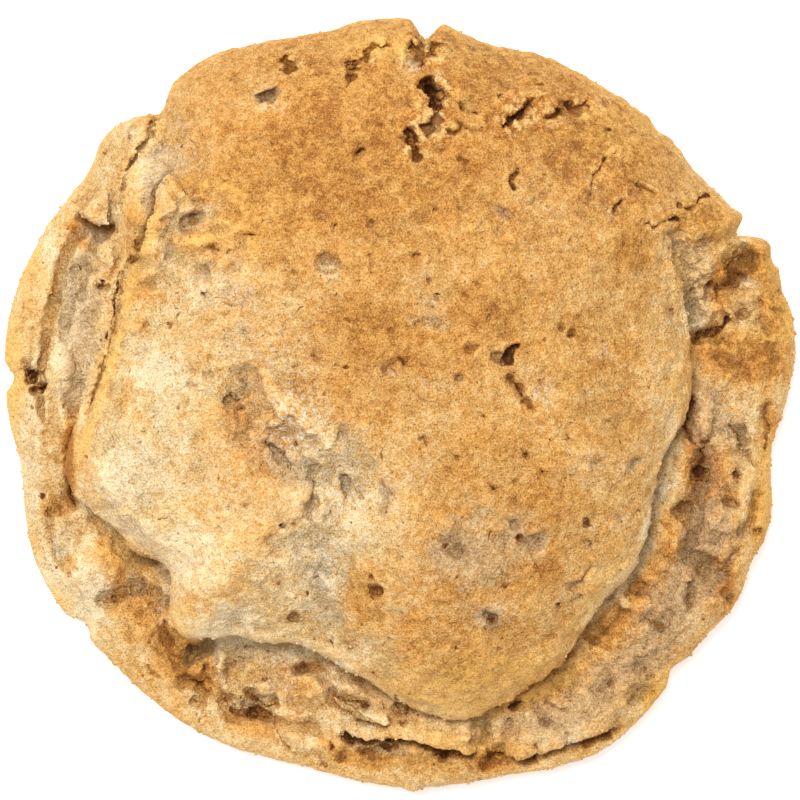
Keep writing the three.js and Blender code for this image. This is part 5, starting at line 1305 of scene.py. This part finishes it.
# The crust's clouds: their size in millimetres, how many finer sizes they hold, and how rough they are.
BROAD_CLOUDS = (3.4, 4, 0.6)
MOTTLE_CLOUDS = (1.0, 4, 0.65)
GRAIN_CLOUDS = (0.24, 3, 0.7)
MOIST_CLOUDS = (2.0, 6, 0.72)
SPECKLE_CLOUDS = (0.5, 5, 0.75)
SUGAR_CLOUDS = (0.7, 4, 0.65)
FLECK_CLOUDS = (0.45, 2, 0.7)
SWARM_CLOUDS = (7.0, 2, 0.55)
TORN_CLOUDS = (0.5, 4, 0.75)
SKIN_CLOUDS = (2.2, 4, 0.55)
SHAKEN_CELLS = 0.5
PINHOLE_CELLS, PINHOLE_SHAKE, PINHOLE_SIZE = 0.75, 0.25, 0.22
PORE_CELLS, PORE_SHAKE, PORE_SIZE, PORE_SIZE_MORE = 1.9, 0.5, 0.07, 0.12
SKIN_BUMP, MOTTLE_BUMP, GRAIN_BUMP, PORE_BUMP = 0.9, 0.5, 0.16, 0.12
DRY_ROUGHNESS, MOIST_SHINE, CRUST_SPECULAR = 0.8, -0.15, 0.25

crust = Finish("baked_oat_crust")
broad = crust.between(crust.noise(*BROAD_CLOUDS), 0.3, 0.7)
mottle_fog = crust.noise(*MOTTLE_CLOUDS)
mottle = crust.between(mottle_fog, 0.3, 0.7)
grain_fog = crust.noise(*GRAIN_CLOUDS)
grain = crust.between(grain_fog, 0.25, 0.75)
height = crust.read("relief")
baked = crust.read("browning")
for pattern, strength in ((broad, 0.26), (mottle, -0.30), (grain, -0.22)):
    baked = crust.sway(baked, pattern, strength)
# Painted light and shade from the relief, lighter on crests and darker in dips, with a random tone from the
# mottle and the grain.
tone = crust.sum("MULTIPLY_ADD", height, 0.16, 0.965)
for pattern, strength in ((mottle, 0.12), (grain, 0.75)):
    tone = crust.sway(tone, pattern, strength)
colour = crust.ramp(baked, CRUST_COLOURS)
# Moist dough shows in torn patches, speckled grey and brown.
moist = crust.sway(crust.read("moistness"), crust.noise(*MOIST_CLOUDS), 1.7)
moist = crust.between(crust.sum("MULTIPLY_ADD", height, -0.08, moist), 0.20, 0.90)
speckle = crust.between(crust.noise(*SPECKLE_CLOUDS), 0.36, 0.60)
colour = crust.coat(colour, moist, 0.66, crust.blend(speckle, MOIST_BROWN, MOIST_GREY))
# Buttery gold on the crests and rims, golden crumbs beside the cracks, and sugar.
gilded = crust.between(crust.sway(crust.read("gilt"), mottle, 0.35), 0.05, 1.0)
colour = crust.coat(colour, gilded, 0.75, BUTTER_GOLD)
golden = crust.sum("MULTIPLY", crust.read("crumbs"), crust.between(mottle, 0.2, 0.8))
colour = crust.coat(colour, golden, 0.8, CRUMB_GOLD)
frosted = crust.between(crust.noise(*SUGAR_CLOUDS), 0.46, 0.58)
colour = crust.coat(colour, crust.sum("MULTIPLY", crust.read("sugar"), frosted), 0.8, SUGAR_WHITE)
colour = crust.shade(colour, tone)
colour = crust.coat(colour, crust.between(crust.noise(*FLECK_CLOUDS), 0.66, 0.70), 0.35, SUGAR_WHITE)
# Pores where steam came out, of two sizes, the larger ones in loose swarms: brown dots, partly their
# inside's colour and partly painted shade.
swarm = crust.between(crust.noise(*SWARM_CLOUDS), 0.35, 0.65)
pin_gap, pin_kind = crust.cells(PINHOLE_CELLS, PINHOLE_SHAKE)
pin_size = crust.sum("MULTIPLY", crust.between(pin_kind, 0.45, 1.0), PINHOLE_SIZE)
pinhole = crust.dots(pin_gap, pin_size, 1.2, 0.7)
colour = crust.coat(colour, pinhole, 0.5, CRACK_BROWN_AND_SHADE)
pore_gap, pore_kind = crust.cells(PORE_CELLS, PORE_SHAKE)
pore_size = crust.sum("MULTIPLY_ADD", swarm, PORE_SIZE_MORE, PORE_SIZE)
pore_size = crust.sum("MULTIPLY", crust.between(pore_kind, 0.5, 1.0), pore_size)
pore = crust.dots(pore_gap, pore_size, 1.15, 0.85)
colour = crust.coat(colour, pore, 0.8, CRACK_BROWN_AND_SHADE)
# Cracks and holes: warm brown inside, with painted shade that fades out round them and goes near black where
# they are deepest.
torn = crust.between(crust.noise(*TORN_CLOUDS), 0.28, 0.72)
dark_here = crust.read("darkness")
dark = crust.sum("MULTIPLY", crust.sum("MULTIPLY_ADD", torn, 1.1, 0.5), dark_here)
colour = crust.coat(colour, crust.between(dark_here, 0.15, 0.9), 0.25, CRACK_BROWN_AND_SHADE)
colour = crust.coat(colour, crust.between(dark, 0.44, 0.56), 0.8, CRACK_BROWN_AND_SHADE)
colour = crust.coat(colour, crust.between(dark, 0.70, 0.90), 0.85, CRACK_PAINTED_SHADE)
crust.feed(crust.shader.inputs["Base Color"], colour)
crust.feed(crust.shader.inputs["Roughness"], crust.sum("MULTIPLY_ADD", moist, MOIST_SHINE, DRY_ROUGHNESS))
crust.shader.inputs["Specular IOR Level"].default_value = CRUST_SPECULAR
unpierced = crust.sum("SUBTRACT", 1.0, crust.sum("MAXIMUM", pore, pinhole))
bumps = None
for pattern, depth in (
    (crust.noise(*SKIN_CLOUDS), SKIN_BUMP), (mottle_fog, MOTTLE_BUMP), (grain_fog, GRAIN_BUMP),
    (unpierced, PORE_BUMP),
):
    bumps = crust.bump(pattern, depth, bumps)
crust.feed(crust.shader.inputs["Normal"], bumps)
finished.materials.append(crust.material)

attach(cookie, "root")
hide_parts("cookie")


# ==== the crumbs ==================================================================================
# Small bits of the same dough that broke off and baked on: in the torn seams of the skirt, round the
# cracks and thinly all over. Each is a rough grain, half sunk, scattered over the crust by its own share.

CRUMBS_PER_CM2 = 270
CRUMB_RADIUS = (0.11, 0.36)
CRUMB_SQUASHED = (0.7, 0.7, 0.7)
CRUMB_STRETCHED = (1.3, 1.1, 1.0)
MOSTLY_SMALL = 2.5  # the power that makes most of the crumbs small
SPOTS_SEED, TURNS_SEED, SIZES_SEED, STRETCH_SEED = 3, 5, 7, 9


def wire(tree, kind, inputs, settings=()):
    """A node with its settings and its inputs, by name or number: a value or another node's output."""
    node = tree.nodes.new(kind)
    for name, value in settings:
        setattr(node, name, value)
    for name, value in inputs:
        if isinstance(value, bpy.types.NodeSocket):
            tree.links.new(value, node.inputs[name])
        else:
            node.inputs[name].default_value = value
    return node


scatter = bpy.data.node_groups.new("crumb_scatter", "GeometryNodeTree")
scatter.interface.new_socket("Geometry", in_out="INPUT", socket_type="NodeSocketGeometry")
per_area, smallest, largest = (
    scatter.interface.new_socket(name, in_out="INPUT", socket_type="NodeSocketFloat")
    for name in ("Per square metre", "Smallest", "Largest")
)
scatter.interface.new_socket("Geometry", in_out="OUTPUT", socket_type="NodeSocketGeometry")
start = scatter.nodes.new("NodeGroupInput")
share_here = wire(scatter, "GeometryNodeInputNamedAttribute", [("Name", "crumbly")])
density = wire(
    scatter, "ShaderNodeMath",
    [(0, share_here.outputs["Attribute"]), (1, start.outputs["Per square metre"])],
    [("operation", "MULTIPLY")],
)
spots = wire(
    scatter, "GeometryNodeDistributePointsOnFaces",
    [("Mesh", start.outputs["Geometry"]), ("Density", density.outputs[0]), ("Seed", SPOTS_SEED)],
)
grain_shape = wire(scatter, "GeometryNodeMeshIcoSphere", [("Radius", 1.0), ("Subdivisions", 1)])
turned_by = wire(
    scatter, "FunctionNodeRandomValue",
    [(0, (0, 0, 0)), (1, (6.28, 6.28, 6.28)), ("Seed", TURNS_SEED)],
    [("data_type", "FLOAT_VECTOR")],
)
size_draw = wire(scatter, "FunctionNodeRandomValue", [(2, 0.0), (3, 1.0), ("Seed", SIZES_SEED)])
mostly_small = wire(
    scatter, "ShaderNodeMath", [(0, size_draw.outputs[1]), (1, MOSTLY_SMALL)], [("operation", "POWER")]
)
size_here = wire(
    scatter, "ShaderNodeMapRange",
    [("Value", mostly_small.outputs[0]), ("To Min", start.outputs["Smallest"]),
     ("To Max", start.outputs["Largest"])],
)
stretch = wire(
    scatter, "FunctionNodeRandomValue",
    [(0, CRUMB_SQUASHED), (1, CRUMB_STRETCHED), ("Seed", STRETCH_SEED)],
    [("data_type", "FLOAT_VECTOR")],
)
scale_here = wire(
    scatter, "ShaderNodeVectorMath",
    [(0, stretch.outputs[0]), ("Scale", size_here.outputs["Result"])],
    [("operation", "SCALE")],
)
grains = wire(
    scatter, "GeometryNodeInstanceOnPoints",
    [("Points", spots.outputs["Points"]), ("Instance", grain_shape.outputs["Mesh"]),
     ("Rotation", turned_by.outputs[0]), ("Scale", scale_here.outputs[0])],
)
real = wire(scatter, "GeometryNodeRealizeInstances", [("Geometry", grains.outputs["Instances"])])
coated = wire(
    scatter, "GeometryNodeSetMaterial",
    [("Geometry", real.outputs["Geometry"]), ("Material", crust.material)],
)
wire(scatter, "NodeGroupOutput", [("Geometry", coated.outputs["Geometry"])])

crumb_base = bpy.data.objects.new("crumb_base", finished.copy())
scene.collection.objects.link(crumb_base)
modifier = crumb_base.modifiers.new("crumb_scatter", "NODES")
modifier.node_group = scatter
modifier[per_area.identifier] = CRUMBS_PER_CM2 * 1e4
modifier[smallest.identifier] = CRUMB_RADIUS[0] * MM
modifier[largest.identifier] = CRUMB_RADIUS[1] * MM
crumb_mesh = bpy.data.meshes.new_from_object(crumb_base.evaluated_get(bpy.context.evaluated_depsgraph_get()))
bpy.data.objects.remove(crumb_base)
crumb_mesh.name = "crumbs"
crumb_mesh.polygons.foreach_set("use_smooth", np.ones(len(crumb_mesh.polygons), dtype=bool))
crumb_piece = bpy.data.objects.new("crumbs", crumb_mesh)
scene.collection.objects.link(crumb_piece)

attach(crumb_piece, "root")
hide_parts("cookie")
